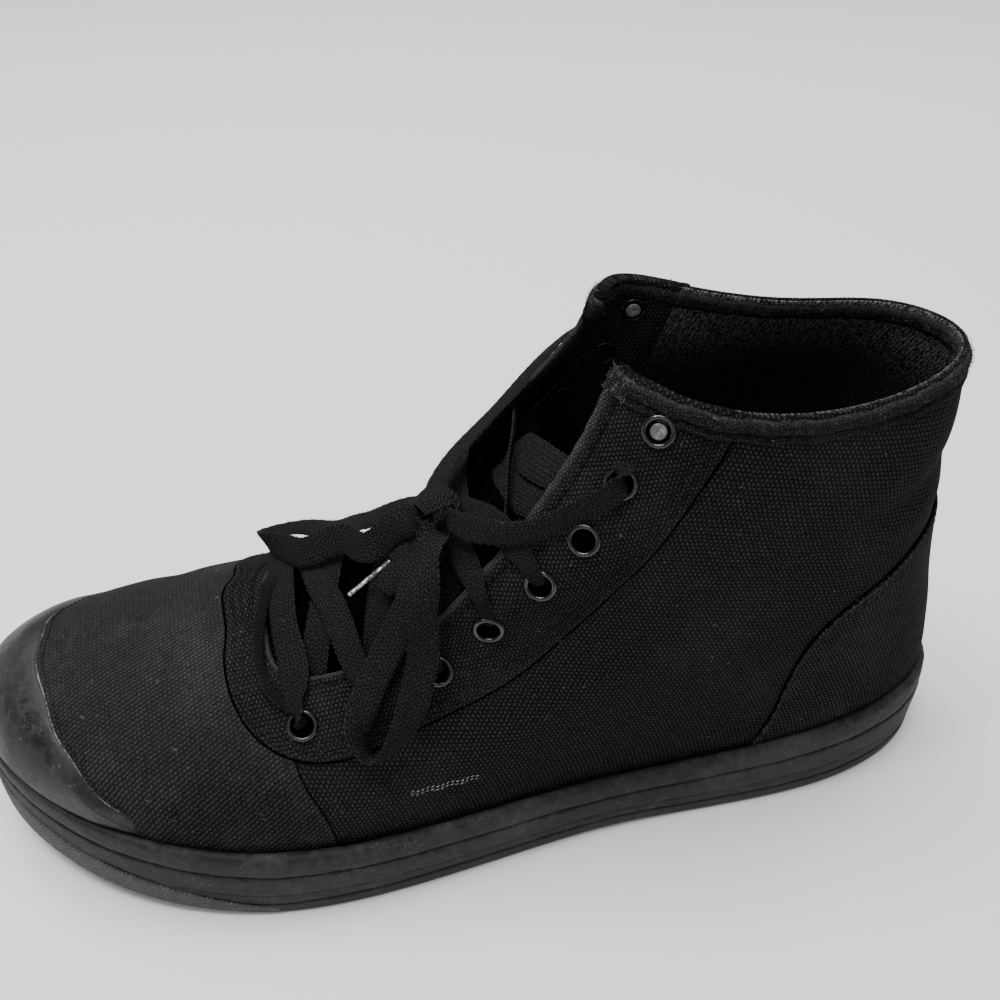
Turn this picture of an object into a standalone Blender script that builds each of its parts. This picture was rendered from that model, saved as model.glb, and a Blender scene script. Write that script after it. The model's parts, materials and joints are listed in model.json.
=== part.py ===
"""Left high-top safety boot: canvas upper, rubber sole, toe cap, eyelets and lace.

Frame: metres, +Z up, toe towards -Y, outer (lateral) side towards +X, origin on the floor
under the middle of the boot.  A "station" is a distance forward from the back of the sole.
"""
import math

import bmesh
import bpy
import numpy as np
from mathutils import Matrix, Vector

MM = 0.001

# Side shift that brings the middle of the sole's outline over the origin
SIDE_SHIFT = -1.9

# Driving sizes, in millimetres unless the name says otherwise
LENGTH = 300.0
BALL_WIDTH = 106.0
TOE_SPRING = 10.5
SPRING_START = 205.0
GAP = 0.3

WALL = 1.8
FOXING_THICK = 3.8
FOXING_BOTTOM = 4.6
DECK_HEIGHT = 12.0
INSOLE_THICK = 3.6
INSOLE_CHAMFER = 0.9
INSOLE_PLAY = 0.5
ARCH_OUTER = 0.6
ARCH_INNER = 2.4
ARCH_SPAN = (78.0, 146.0)

# The last, ring by ring from the feather line to the collar.  Each ring is a closed smooth
# curve round the foot.  front_s, front_z and back_s, back_z place its toe and heel ends;
# "bend" is the power with which its height climbs from heel to toe, "dip" how far it sags
# at both sides, and "lean" how much lower its outer front runs than its inner front.  out_*
# and in_* are the half widths on the outer and inner side at four compass points, "tip" and
# "tail" the side shift of its two ends, and "push" how far the heel's back is pushed in.
LAST_COLUMNS = ("front_s", "front_z", "back_s", "back_z", "bend", "dip", "lean",
                "out_toe", "out_ball", "out_waist", "out_heel",
                "in_toe", "in_ball", "in_waist", "in_heel", "tip", "tail", "push")
LAST = (
    # feather line, under the foxing
    (296.5, 22.8, 3.8, 12.3, 4.0, 0, 0, 35.0, 51.0, 38.0, 31.4, 39.0, 46.5, 32.5, 30.0, -8.0, 1.0, -2.0),
    (297.0, 36.0, 3.0, 31.0, 3.0, 0, 0, 35.0, 51.0, 38.5, 31.8, 39.0, 46.0, 33.0, 30.5, -8.0, 1.0, -2.5),
    (293.0, 47.0, 3.0, 46.0, 1.5, 0, 0, 33.0, 47.0, 38.0, 31.8, 35.5, 42.5, 33.5, 30.5, -7.5, 1.0, -0.3),
    # over the toe box
    (280.0, 57.0, 3.5, 58.0, 1.0, 0, 0, 26.5, 40.5, 37.0, 31.6, 27.5, 37.0, 34.0, 30.0, -6.0, 1.0, 1.8),
    (257.0, 63.0, 5.0, 69.0, 1.0, 0, 0, 21.0, 35.5, 36.2, 31.2, 20.0, 32.5, 34.0, 29.5, -4.5, 1.0, 3.3),
    (226.0, 68.0, 7.5, 79.0, 1.0, 0, 0, 19.5, 33.0, 35.6, 30.8, 18.0, 31.0, 34.0, 29.0, -3.0, 1.0, 3.3),
    # up the instep
    (198.0, 76.0, 10.0, 89.0, 1.0, 0, 0, 21.0, 33.0, 35.0, 30.0, 20.0, 31.5, 33.5, 28.5, -2.0, 1.0, 3.0),
    (173.0, 87.0, 12.0, 98.5, 1.0, 0, 0, 27.0, 34.0, 34.5, 29.0, 26.0, 33.0, 33.0, 27.5, -1.0, 1.0, 3.1),
    (153.0, 101.5, 13.5, 109.0, 1.0, 0, 0, 30.5, 34.0, 33.5, 28.0, 30.0, 33.5, 32.5, 26.5, 0.0, 1.0, 4.2),
    (137.5, 118.5, 14.5, 121.0, 1.0, 1.0, 0.5, 29.0, 33.0, 32.0, 26.0, 31.0, 33.0, 31.0, 25.5, 0.0, 1.0, 3.2),
    # the ankle and the collar
    (125.0, 137.0, 16.5, 134.0, 1.0, 2.5, 1.5, 24.5, 31.0, 30.0, 23.5, 31.0, 32.0, 28.5, 23.5, 0.0, 0.5, 0.6),
    (118.0, 154.5, 18.5, 149.0, 1.0, 4.5, 2.5, 19.5, 28.8, 27.6, 18.5, 31.0, 30.5, 25.0, 21.0, 0.0, 0.0, -0.6),
)
COMPASS = (0.80, 0.35, -0.20, -0.70)
NOMINAL_BALL_WIDTH = 106.0


def spline_slopes(knots, values, period=None):
    """Slopes of the smooth cubic through values at knots; closed when a period is given."""
    count = len(knots)
    gaps = np.diff(np.append(knots, knots[0] + period if period else knots[-1]))
    system = np.zeros((count, count))
    right = np.zeros((count, values.shape[1]))
    for i in range(count):
        if period is None and i in (0, count - 1):
            j = 1 if i == 0 else count - 2
            system[i, i], system[i, j] = 2.0, 1.0
            right[i] = 3.0 * (values[j] - values[i]) / (knots[j] - knots[i])
            continue
        before, after = (i - 1) % count, (i + 1) % count
        h0, h1 = gaps[before], gaps[i]
        system[i, before] += 1.0 / h0
        system[i, i] += 2.0 / h0 + 2.0 / h1
        system[i, after] += 1.0 / h1
        right[i] = (3.0 * (values[i] - values[before]) / h0 ** 2
                    + 3.0 * (values[after] - values[i]) / h1 ** 2)
    return np.linalg.solve(system, right)


def smooth_curve(knots, values, at, period=None):
    """Values of the smooth cubic at each place in the array at, one row per place."""
    knots = np.asarray(knots, float)
    values = np.asarray(values, float).reshape(len(knots), -1)
    slopes = spline_slopes(knots, values, period)
    if period:
        at = knots[0] + np.mod(at - knots[0], period)
        knots = np.append(knots, knots[0] + period)
        values = np.vstack([values, values[:1]])
        slopes = np.vstack([slopes, slopes[:1]])
    cell = np.clip(np.searchsorted(knots, at, side="right") - 1, 0, len(knots) - 2)
    width = (knots[cell + 1] - knots[cell])[:, None]
    t = (at - knots[cell])[:, None] / width
    return ((2 * t ** 3 - 3 * t ** 2 + 1) * values[cell]
            + (t ** 3 - 2 * t ** 2 + t) * width * slopes[cell]
            + (3 * t ** 2 - 2 * t ** 3) * values[cell + 1]
            + (t ** 3 - t ** 2) * width * slopes[cell + 1])


def compass_turns():
    """The ten turns at which a ring's width is given: toe, outer side, heel, inner side."""
    outer = [math.acos(share) for share in COMPASS]
    inner = [2 * math.pi - turn for turn in reversed(outer)]
    return [0.0] + outer + [math.pi] + inner


def bare_form(turn, level):
    """Point of the last's outer surface.  turn 0 is the toe, pi/2 the outer side, pi the heel.

    level 0 is the feather line and 1 the collar.  The station runs along the ring as the
    cosine of the turn, and the side place is the smooth closed curve through the widths.
    """
    turn, level = np.broadcast_arrays(np.asarray(turn, float), np.asarray(level, float))
    shape = turn.shape
    flat_turn, flat_level = turn.ravel(), level.ravel()
    ring = smooth_curve(np.linspace(0.0, 1.0, len(LAST)), LAST, flat_level)
    col = {name: ring[:, i] for i, name in enumerate(LAST_COLUMNS)}
    scale = BALL_WIDTH / NOMINAL_BALL_WIDTH
    sides = np.stack([col["tip"], col["out_toe"], col["out_ball"], col["out_waist"], col["out_heel"],
                      col["tail"], -col["in_heel"], -col["in_waist"], -col["in_ball"], -col["in_toe"]],
                     axis=1) * scale
    basis = smooth_curve(compass_turns(), np.eye(10), flat_turn, 2 * math.pi)
    along = 0.5 + 0.5 * np.cos(flat_turn)
    x = (basis * sides).sum(axis=1)
    s = col["back_s"] + (col["front_s"] - col["back_s"]) * along
    s = s + col["push"] * np.clip(-np.cos(flat_turn), 0.0, 1.0) ** 3
    z = col["back_z"] + (col["front_z"] - col["back_z"]) * along ** np.clip(col["bend"], 1.0, 4.0)
    z = z - col["dip"] * np.sin(flat_turn) ** 2 - col["lean"] * np.sin(flat_turn) * along ** 2
    return np.stack([x, LENGTH / 2 - s, z], axis=1).reshape(shape + (3,))


def form_normal(turn, level):
    """Outward unit normal of the last, from small steps along and across the rings."""
    step = 1e-3
    low, high = np.clip(level - step, 0.0, 1.0), np.clip(level + step, 0.0, 1.0)
    across = bare_form(turn, high) - bare_form(turn, low)
    along = bare_form(turn + step, level) - bare_form(turn - step, level)
    normal = np.cross(along, across)
    return normal / np.linalg.norm(normal, axis=-1, keepdims=True)


def form(turn, level, proud=0.0):
    """Point standing proud of the last's outer surface, in millimetres."""
    turn, level = np.broadcast_arrays(np.asarray(turn, float), np.asarray(level, float))
    point = bare_form(turn, level)
    return point + form_normal(turn, level) * np.asarray(proud, float)[..., None] if np.any(proud) else point


# ---- solids

UPPER_LEVELS = (0.0, 0.09, 0.15, 0.2, 0.25, 0.3, 0.35, 0.4, 0.46, 0.52, 0.58,
                0.64, 0.7, 0.76, 0.82, 0.88, 0.94, 1.0)
UPPER_TURNS = 44
SOLE_TURNS = 48


def frame_point(x, station, z):
    """Point of the boot's frame, in millimetres, at a side place, station and height."""
    return np.array([x, LENGTH / 2 - station, z])


def finish(name, rgb, roughness, metallic=0.0):
    """Plain material of one colour."""
    material = bpy.data.materials.new(name)
    material.use_nodes = True
    shader = material.node_tree.nodes["Principled BSDF"]
    shader.inputs["Base Color"].default_value = (*rgb, 1.0)
    shader.inputs["Roughness"].default_value = roughness
    shader.inputs["Metallic"].default_value = metallic
    return material


def add_mesh(name, points, faces, material=None):
    """Object whose mesh has the given points, in millimetres, and faces."""
    mesh = bpy.data.meshes.new(name)
    mesh.from_pydata((np.asarray(points).reshape(-1, 3) * MM).tolist(), [], faces)
    mesh.update()
    obj = bpy.data.objects.new(name, mesh)
    bpy.context.scene.collection.objects.link(obj)
    if material:
        mesh.materials.append(material)
        mesh.shade_smooth()
        mesh.set_sharp_from_angle(angle=math.radians(40))
    return obj


def band_faces(rows, columns, close_rows=False, close_columns=True, start=0):
    """Quads of a grid of points, facing out where rows climb as columns turn to the left."""
    faces = []
    for r in range(rows if close_rows else rows - 1):
        for c in range(columns if close_columns else columns - 1):
            r2, c2 = (r + 1) % rows, (c + 1) % columns
            faces.append((start + r * columns + c, start + r * columns + c2,
                          start + r2 * columns + c2, start + r2 * columns + c))
    return faces


def ladder_faces(columns, start, upward):
    """Quads that fill a ring whose points at equal distance from its toe share a station."""
    half = columns // 2
    faces = []
    for c in range(half):
        near, far = start + c, start + c + 1
        back_near, back_far = start + (columns - c) % columns, start + columns - c - 1
        face = [near, far, back_far, back_near]
        face = [v for i, v in enumerate(face) if v != face[i - 1]]
        faces.append(tuple(face) if upward else tuple(reversed(face)))
    return faces


def filled_rings(name, rings, material=None):
    """Closed solid from rings of points, lowest first, with ladders over both ends."""
    columns = len(rings[0])
    faces = band_faces(len(rings), columns)
    faces += ladder_faces(columns, 0, upward=False)
    faces += ladder_faces(columns, (len(rings) - 1) * columns, upward=True)
    return add_mesh(name, np.concatenate(rings), faces, material)


def prism(name, low, high):
    """Cutter between two matching outlines, with its faces turned outward."""
    count = len(low)
    faces = band_faces(2, count)
    faces += [tuple(range(count, 2 * count)), tuple(reversed(range(count)))]
    return hide_cutter(face_outward(add_mesh(name, np.concatenate([low, high]), faces)))


def face_outward(obj):
    """Turn every face of a closed mesh outward."""
    work = bmesh.new()
    work.from_mesh(obj.data)
    bmesh.ops.recalc_face_normals(work, faces=work.faces)
    work.to_mesh(obj.data)
    work.free()
    return obj


def hide_cutter(obj):
    """Mark an object as a cutter, which is no part of the boot."""
    obj.hide_render = True
    obj.display_type = "WIRE"
    return obj


def boolean(obj, other, operation):
    """Live Boolean on obj by other."""
    modifier = obj.modifiers.new(f"{operation.title()} {other.name}", "BOOLEAN")
    modifier.operation = operation
    modifier.object = other
    modifier.solver = "EXACT"


def turns(count):
    """Evenly spaced turns round a ring, toe first."""
    return np.arange(count) * 2 * math.pi / count


# Height of the foxing's top edge above the sole's underside, by station
RIM_STATIONS = (0.0, 40.0, 90.0, 130.0, 200.0, 250.0, 300.0)
RIM_HEIGHTS = (29.0, 27.0, 23.0, 22.5, 25.0, 27.5, 27.0)


def spring(station):
    """Height of the sole's underside where it curls up towards the toe."""
    reach = np.clip((station - SPRING_START) / (LENGTH - SPRING_START), 0.0, 1.0)
    return TOE_SPRING * reach ** 2


def arch(station, turn):
    """Height of the hollow under the waist, deeper on the inner side."""
    reach = np.clip((station - ARCH_SPAN[0]) / (ARCH_SPAN[1] - ARCH_SPAN[0]), 0.0, 1.0)
    share = 0.5 - 0.5 * np.sin(turn)
    return (ARCH_OUTER + (ARCH_INNER - ARCH_OUTER) * share) * np.sin(math.pi * reach) ** 2


def rim_height(station):
    """Height of the foxing's top edge above the sole's underside."""
    return smooth_curve(RIM_STATIONS, RIM_HEIGHTS, station)[:, 0]


def sole_ring(turn, out, height, on_arch=0.0):
    """Ring of the sole: the feather line pushed level outward, at a height above the floor line.

    The floor line curls up with the toe spring, and by on_arch of the hollow under the waist.
    """
    feather = bare_form(turn, np.zeros_like(turn))
    normal = form_normal(turn, np.zeros_like(turn))
    normal[:, 2] = 0.0
    normal /= np.linalg.norm(normal, axis=1, keepdims=True)
    ring = feather + normal * np.reshape(out, (-1, 1))
    station = stations_of(ring)
    ring[:, 2] = spring(station) + arch(station, turn) * on_arch + height
    return ring


def stations_of(ring):
    """Station of each point of a ring."""
    return LENGTH / 2 - ring[:, 1]


def level_at_height(turn, height):
    """Level at which the last's wall reaches a height, for each turn."""
    levels = np.linspace(0.0, 0.35, 71)
    z = bare_form(turn[None, :], levels[:, None])[..., 2]
    return np.array([np.interp(height[i], z[:, i], levels) for i in range(len(turn))])


# Sole's side: how much further out it stands round waist and heel, and further in at the toe,
# where the bumper lies over it; the change runs between two cosines of the turn
FLARE = 1.5
TOE_RECESS = 1.2
FLARE_SPAN = (0.45, 0.85)


def flare(turn, share=0.0):
    """How far the sole's side is moved out, at a share of the foxing's height."""
    first, last = FLARE_SPAN
    toe = np.clip((np.cos(turn) - first) / (last - first), 0.0, 1.0)
    return FLARE * (1.0 - toe) - TOE_RECESS * toe * (1.0 - share ** 2)


OUTSOLE_TREAD = 4.2
GROOVE_WIDTH = 2.6
GROOVE_DEPTH = 1.8
GROOVE_EDGE = 9.0
GROOVE_ROWS = ((16.0, 70.0, 9.0), (150.0, 276.0, 9.0))


def build_outsole(material):
    """Outsole: a tread the full width of the sole under a deck inside the foxing."""
    turn = turns(SOLE_TURNS)
    side = FOXING_THICK + flare(turn)
    rings = (sole_ring(turn, side - 1.0, 0.0, 1.0),
             sole_ring(turn, side, 1.2, 1.0),
             sole_ring(turn, side, OUTSOLE_TREAD, 1.0),
             sole_ring(turn, -GAP, OUTSOLE_TREAD, 1.0),
             sole_ring(turn, -GAP, DECK_HEIGHT))
    sole = filled_rings("outsole", rings, material)
    boolean(sole, build_groove_cutter(turn), "DIFFERENCE")
    return sole


def build_groove_cutter(turn):
    """Bars that cut the grooves between the main lugs, heel first, inside the sole's edge."""
    edge = sole_ring(turn, FOXING_THICK - GROOVE_EDGE, 0.0)
    station = stations_of(edge)
    outer, inner = turn < math.pi, turn > math.pi
    points, faces = [], []
    for first, last, pitch in GROOVE_ROWS:
        for s in np.arange(first, last, pitch):
            right = np.interp(s, station[outer][::-1], edge[outer][::-1, 0])
            left = np.interp(s, station[inner], edge[inner, 0])
            top = float(spring(s)) + GROOVE_DEPTH
            start = len(points)
            for z in (-2.0, top):
                for x, half in ((left, -1), (right, -1), (right, 1), (left, 1)):
                    points.append(frame_point(x, s - half * GROOVE_WIDTH / 2, z))
            faces += [tuple(start + i for i in face) for face in BOX_FACES]
    return hide_cutter(face_outward(add_mesh("groove_cutter", points, faces)))


BOX_FACES = ((3, 2, 1, 0), (4, 5, 6, 7), (0, 1, 5, 4), (1, 2, 6, 5), (2, 3, 7, 6), (3, 0, 4, 7))

# Foxing's outer side from its bottom edge to its top: how far out, and share of its height
FOXING_PROFILE = ((3.3, 0.0), (3.8, 0.06), (3.9, 0.45), (3.6, 0.80), (2.6, 0.97), (1.4, 1.0))


def build_foxing(material):
    """Foxing: the rubber band wrapped round the outsole's deck and the foot of the upper."""
    turn = turns(SOLE_TURNS)
    rim = rim_height(stations_of(sole_ring(turn, 0.0, 0.0)))
    rings = [sole_ring(turn, GAP, FOXING_BOTTOM, 1.0)]
    for out, share in FOXING_PROFILE:
        height = FOXING_BOTTOM + share * (rim - FOXING_BOTTOM)
        rings.append(sole_ring(turn, out + flare(turn, share), height, 1.0 - share))
    for height in (rim, DECK_HEIGHT + 8.0, DECK_HEIGHT + 1.0):
        lip = sole_ring(turn, GAP, height)[:, 2]
        rings.append(form(turn, level_at_height(turn, lip), GAP))
    return add_mesh("foxing", np.concatenate(rings),
                    band_faces(len(rings), SOLE_TURNS, close_rows=True), material)


def build_upper(material, cutters):
    """Upper: one hollow shell, open at the collar, the throat and underneath."""
    turn = turns(UPPER_TURNS)
    outside = [form(turn, np.full(UPPER_TURNS, level)) for level in UPPER_LEVELS]
    inside = [form(turn, np.full(UPPER_TURNS, level), -WALL) for level in reversed(UPPER_LEVELS)]
    rings = outside + inside
    faces = band_faces(len(rings), UPPER_TURNS, close_rows=True)
    upper = add_mesh("upper", np.concatenate(rings), faces, material)
    for cutter in cutters:
        boolean(upper, cutter, "DIFFERENCE")
    return upper


# The throat in plan: where its outer and inner edges run, by station
THROAT_ROWS = ((96.0, 8.0, -19.0), (116.0, 11.0, -20.5), (136.0, 19.0, -22.5),
               (165.0, 25.0, -23.5), (197.0, 26.0, -22.0))
THROAT_END = 211.0
THROAT_CORNER_STEPS = 6
THROAT_CUT = (50.0, 180.0)


def throat_outline():
    """Closed plan of the throat, rounded towards the toe, as side place and station."""
    rows = np.array(THROAT_ROWS)
    stations = np.linspace(rows[0, 0], rows[-1, 0], 12)
    sides = smooth_curve(rows[:, 0], rows[:, 1:], stations)
    middle = sides[-1].mean()
    half = (sides[-1, 0] - sides[-1, 1]) / 2
    swing = np.linspace(0.0, math.pi, 2 * THROAT_CORNER_STEPS + 1)[1:-1]
    reach = THROAT_END - rows[-1, 0]
    nose_x = middle + half * np.sign(np.cos(swing)) * np.abs(np.cos(swing)) ** 0.6
    nose_s = rows[-1, 0] + reach * np.sin(swing) ** 0.6
    x = np.concatenate([sides[:, 0], nose_x, sides[::-1, 1]])
    s = np.concatenate([stations, nose_s, stations[::-1]])
    return x, s


def build_throat_cutter():
    """Upright prism over the throat's plan."""
    x, s = throat_outline()
    count = len(x)
    low = np.stack([frame_point(x[i], s[i], THROAT_CUT[0]) for i in range(count)])
    high = low + np.array([0.0, 0.0, THROAT_CUT[1] - THROAT_CUT[0]])
    return prism("throat_cutter", low, high)


# Eyelets, toe end first: level, then the turn in degrees on the outer and on the inner side
EYELET_ROWS = ((0.305, 61.5, -61.0), (0.375, 63.5, -63.5), (0.450, 64.5, -63.0), (0.600, 51.0, -54.0),
               (0.717, 41.0, -49.0), (0.795, 39.5, -49.0), (0.873, 38.0, -51.0), (0.949, 41.5, -53.0))
EYELET_HOLE = 3.2
EYELET_PROFILE = ((2.2, 1.1), (3.1, 1.7), (4.2, 0.6), (2.9, 0.6), (2.9, -2.9), (3.5, -3.1), (2.2, -3.5))
EYELET_SIDES = 8


def seat(turn_degrees, level, proud=0.0):
    """Matrix, in metres, of a seat on the last whose Z looks straight out of it."""
    turn = np.array([math.radians(turn_degrees)])
    here = form(turn, np.array([level]), proud)[0]
    out = Vector(form_normal(turn, np.array([level]))[0])
    turned = out.to_track_quat("Z", "Y").to_matrix().to_4x4()
    return Matrix.Translation(Vector(here * MM)) @ turned


def eyelet_seats():
    """Name and seat of each eyelet."""
    seats = []
    for number, (level, outer, inner) in enumerate(EYELET_ROWS, start=1):
        seats.append((f"eyelet_outer_{number}", seat(outer, level)))
        seats.append((f"eyelet_inner_{number}", seat(inner, level)))
    return seats


def build_hole_cutter():
    """Pins that cut the eyelet holes through the upper's wall."""
    points, faces = [], []
    angle = np.arange(EYELET_SIDES) * 2 * math.pi / EYELET_SIDES
    for _, place in eyelet_seats():
        start = len(points)
        for z in (-5.0, 5.0):
            for a in angle:
                local = Vector((EYELET_HOLE * math.cos(a), EYELET_HOLE * math.sin(a), z)) * MM
                points.append(np.array(place @ local) / MM)
        faces += band_faces(2, EYELET_SIDES, start=start)
        faces.append(tuple(start + EYELET_SIDES + i for i in range(EYELET_SIDES)))
        faces.append(tuple(start + i for i in reversed(range(EYELET_SIDES))))
    return hide_cutter(face_outward(add_mesh("eyelet_hole_cutter", points, faces)))


def build_eyelets(material):
    """Sixteen rolled metal eyelets, each turned from one profile and set in its hole."""
    angle = np.arange(EYELET_SIDES) * 2 * math.pi / EYELET_SIDES
    rings = [np.stack([radius * np.cos(angle), radius * np.sin(angle), np.full(EYELET_SIDES, height)],
                      axis=1) for radius, height in EYELET_PROFILE]
    faces = band_faces(len(rings), EYELET_SIDES, close_rows=True)
    faces = [tuple(reversed(face)) for face in faces]
    for name, place in eyelet_seats():
        eyelet = add_mesh(name, np.concatenate(rings), faces, material)
        eyelet.matrix_world = place


# Toe cap: station of its rear edge by height, and the cut's reach beyond the toe
CAP_EDGE = ((249.0, 20.0), (251.5, 34.0), (259.5, 41.5), (265.5, 47.5), (270.5, 51.5), (275.5, 56.0),
            (277.5, 58.5), (277.5, 80.0))
CAP_THICK = 1.8
CAP_REACH = 70.0
CAP_LEVELS = (0.0, 0.04, 0.08, 0.12, 0.16, 0.2, 0.24, 0.28, 0.32, 0.36, 0.42, 0.5)


def closed_form(name, proud):
    """Front of the last as a closed body, standing proud of the upper by a given amount."""
    turn = turns(UPPER_TURNS)
    rings = [form(turn, np.full(UPPER_TURNS, level), proud) for level in CAP_LEVELS]
    return filled_rings(name, rings)


def build_toe_cap(material):
    """Rubber toe cap: cut between two larger forms, in front of its rear edge, above the foxing."""
    cap = closed_form("toe_cap", GAP + CAP_THICK)
    cap.data.materials.append(material)
    core = hide_cutter(closed_form("toe_cap_core", GAP))
    stations = np.linspace(CAP_EDGE[1][0], LENGTH + 6.0, 10)
    floor = rim_height(stations) + spring(stations) + GAP
    profile = list(zip(stations, floor))
    profile += [(LENGTH + 6.0, 80.0)] + [row for row in reversed(CAP_EDGE) if row[1] > profile[0][1] + 1.0]
    sides = [np.array([frame_point(x, s, z) for s, z in profile]) for x in (-CAP_REACH, CAP_REACH)]
    block = prism("toe_cap_block", *sides)
    boolean(cap, block, "INTERSECT")
    boolean(cap, core, "DIFFERENCE")
    return cap


BUMPER_TURNS = np.radians(np.linspace(-62.0, 64.0, 41))
BUMPER_THICK = 0.9
BUMPER_BOTTOM = 1.2
BUMPER_HEIGHT = 10.7
BUMPER_TIP_HEIGHT = 3.0


def build_toe_bumper(material):
    """Textured bumper strip low round the toe, tapering to its two ends on the foxing."""
    turn = BUMPER_TURNS
    share = np.abs(np.linspace(-1.0, 1.0, len(turn)))
    height = BUMPER_TIP_HEIGHT + (BUMPER_HEIGHT - BUMPER_TIP_HEIGHT) * (1.0 - share ** 4)
    bottom = BUMPER_BOTTOM
    near = FOXING_PROFILE[2][0] + GAP + flare(turn)
    edges = [(near, bottom), (near + BUMPER_THICK, bottom + 0.4),
             (near + BUMPER_THICK, bottom + height - 1.0), (near, bottom + height)]
    rows = np.stack([sole_ring(turn, out, z) for out, z in edges], axis=1)
    count = len(turn)
    faces = [tuple(reversed(face)) for face in band_faces(count, 4, close_columns=True)]
    faces += [(0, 1, 2, 3), tuple(4 * (count - 1) + i for i in (3, 2, 1, 0))]
    return add_mesh("toe_bumper", rows.reshape(-1, 3), faces, material)


def build_insole(material):
    """Insole: loose flat sock that fills the inside of the upper on the outsole's deck."""
    turn = turns(SOLE_TURNS)
    rings = []
    for inset, height in ((0.0, 0.0), (0.0, INSOLE_THICK - INSOLE_CHAMFER), (INSOLE_CHAMFER, INSOLE_THICK)):
        height += DECK_HEIGHT + GAP
        floor = sole_ring(turn, -WALL - INSOLE_PLAY - inset, height)[:, 2]
        ring = form(turn, level_at_height(turn, floor), -WALL - INSOLE_PLAY - inset)
        ring[:, 2] = spring(stations_of(ring)) + height
        rings.append(ring)
    return filled_rings("insole", rings, material)


TONGUE_THICK = 2.4
TONGUE_SINK = 4.1
TONGUE_SIDES = 11
# Tongue, toe end first: level, turn of its inner and outer edge in degrees, and extra sink
TONGUE_ROWS = ((0.42, -46.0, 52.0, 0.0), (0.48, -50.0, 60.0, 0.0), (0.56, -48.0, 62.0, 0.0),
               (0.64, -38.0, 58.0, 0.0), (0.72, -30.0, 52.0, 0.0), (0.78, -24.0, 50.0, 0.0),
               (0.83, -20.0, 48.0, 0.8))


def build_tongue(material):
    """Tongue: a padded strip under the throat, slumped towards the outer side."""
    rows = np.array(TONGUE_ROWS)
    levels = np.linspace(rows[0, 0], rows[-1, 0], 14)
    edges = smooth_curve(rows[:, 0], rows[:, 1:], levels)
    across = np.linspace(0.0, 1.0, TONGUE_SIDES)
    turn = np.radians(edges[:, :1] + (edges[:, 1:2] - edges[:, :1]) * across)
    level = np.repeat(levels[:, None], TONGUE_SIDES, axis=1)
    sink = TONGUE_SINK + edges[:, 2:3] + np.zeros_like(turn)
    top = form(turn, level, -sink)
    bottom = form(turn, level, -sink - TONGUE_THICK)
    rows_of_points = np.concatenate([top, bottom[:, ::-1]], axis=1)
    count = rows_of_points.shape[1]
    faces = band_faces(len(levels), count)
    last = (len(levels) - 1) * count
    for c in range(TONGUE_SIDES - 1):
        faces.append((c + 1, c, count - 1 - c, count - 2 - c))
        faces.append((last + c, last + c + 1, last + count - 2 - c, last + count - 1 - c))
    return add_mesh("tongue", rows_of_points.reshape(-1, 3), faces, material)


CROWN_STEPS = 120


def crown(x, station):
    """Turn and level of the last's surface over a place in plan.

    A ring meets the station at the turn whose cosine says how far forward it lies; the level
    sought is the one whose ring has the wanted side place there.
    """
    levels = np.linspace(0.0, 1.0, 400)
    rings = smooth_curve(np.linspace(0.0, 1.0, len(LAST)), LAST, levels)
    front, tip = rings[:, 0], rings[:, LAST_COLUMNS.index("tip")]
    reached = np.nonzero(front >= station)[0][-1]
    side = 1.0 if x >= tip[reached] else -1.0
    level = levels[reached] * (1.0 - np.linspace(0.0, 1.0, CROWN_STEPS) ** 2)
    ring = smooth_curve(np.linspace(0.0, 1.0, len(LAST)), LAST, level)
    along = (station - ring[:, 2]) / (ring[:, 0] - ring[:, 2])
    turn = np.arccos(np.clip(2.0 * along - 1.0, -1.0, 1.0)) * side
    spread = side * bare_form(turn, level)[:, 0]
    first = int(np.argmax(spread >= side * x))
    first = max(first, 1)
    share = (side * x - spread[first - 1]) / max(spread[first] - spread[first - 1], 1e-9)
    share = min(max(share, 0.0), 1.0)
    return (turn[first - 1] + share * (turn[first] - turn[first - 1]),
            level[first - 1] + share * (level[first] - level[first - 1]))


def over_form(x, station, proud):
    """Point and outward direction above a place in plan, standing proud of the last."""
    turn, level = (np.array([value]) for value in crown(x, station))
    normal = form_normal(turn, level)[0]
    return bare_form(turn, level)[0] + normal * proud, normal


LACE_WIDTH = 8.0
LACE_THICK = 1.1
LACE_LIFT = 1.1
STRAND_POINTS = 8


def ribbon(name, points, normals, width, thickness, material):
    """Flat lace along points, lying on the given outward directions."""
    points, normals = np.asarray(points), np.asarray(normals)
    along = np.gradient(points, axis=0)
    across = np.cross(along, normals)
    across /= np.linalg.norm(across, axis=1, keepdims=True)
    up = np.cross(across, along)
    up /= np.linalg.norm(up, axis=1, keepdims=True)
    half_w, half_t = across * width / 2, up * thickness / 2
    rows = np.stack([points + half_w + half_t, points - half_w + half_t,
                     points - half_w - half_t, points + half_w - half_t], axis=1)
    count = len(points)
    faces = band_faces(count, 4)
    faces += [(3, 2, 1, 0), tuple(4 * (count - 1) + i for i in range(4))]
    return face_outward(add_mesh(name, rows.reshape(-1, 3), faces, material))


def eyelet_place(row, side):
    """Side place and station of an eyelet, on the outer (+1) or inner (-1) side."""
    level, outer, inner = EYELET_ROWS[row]
    turn = math.radians(outer if side > 0 else inner)
    point = bare_form(np.array([turn]), np.array([level]))[0]
    return np.array([point[0], LENGTH / 2 - point[1]])


EYELET_CLEAR = 5.2
EDGE_CLEAR = 7.5


def throat_edge(station, side):
    """Side place of the throat's edge at a station."""
    rows = np.array(THROAT_ROWS)
    edges = smooth_curve(rows[:, 0], rows[:, 1:], np.array([station]))[0]
    return edges[0] if side > 0 else edges[1]


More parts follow.
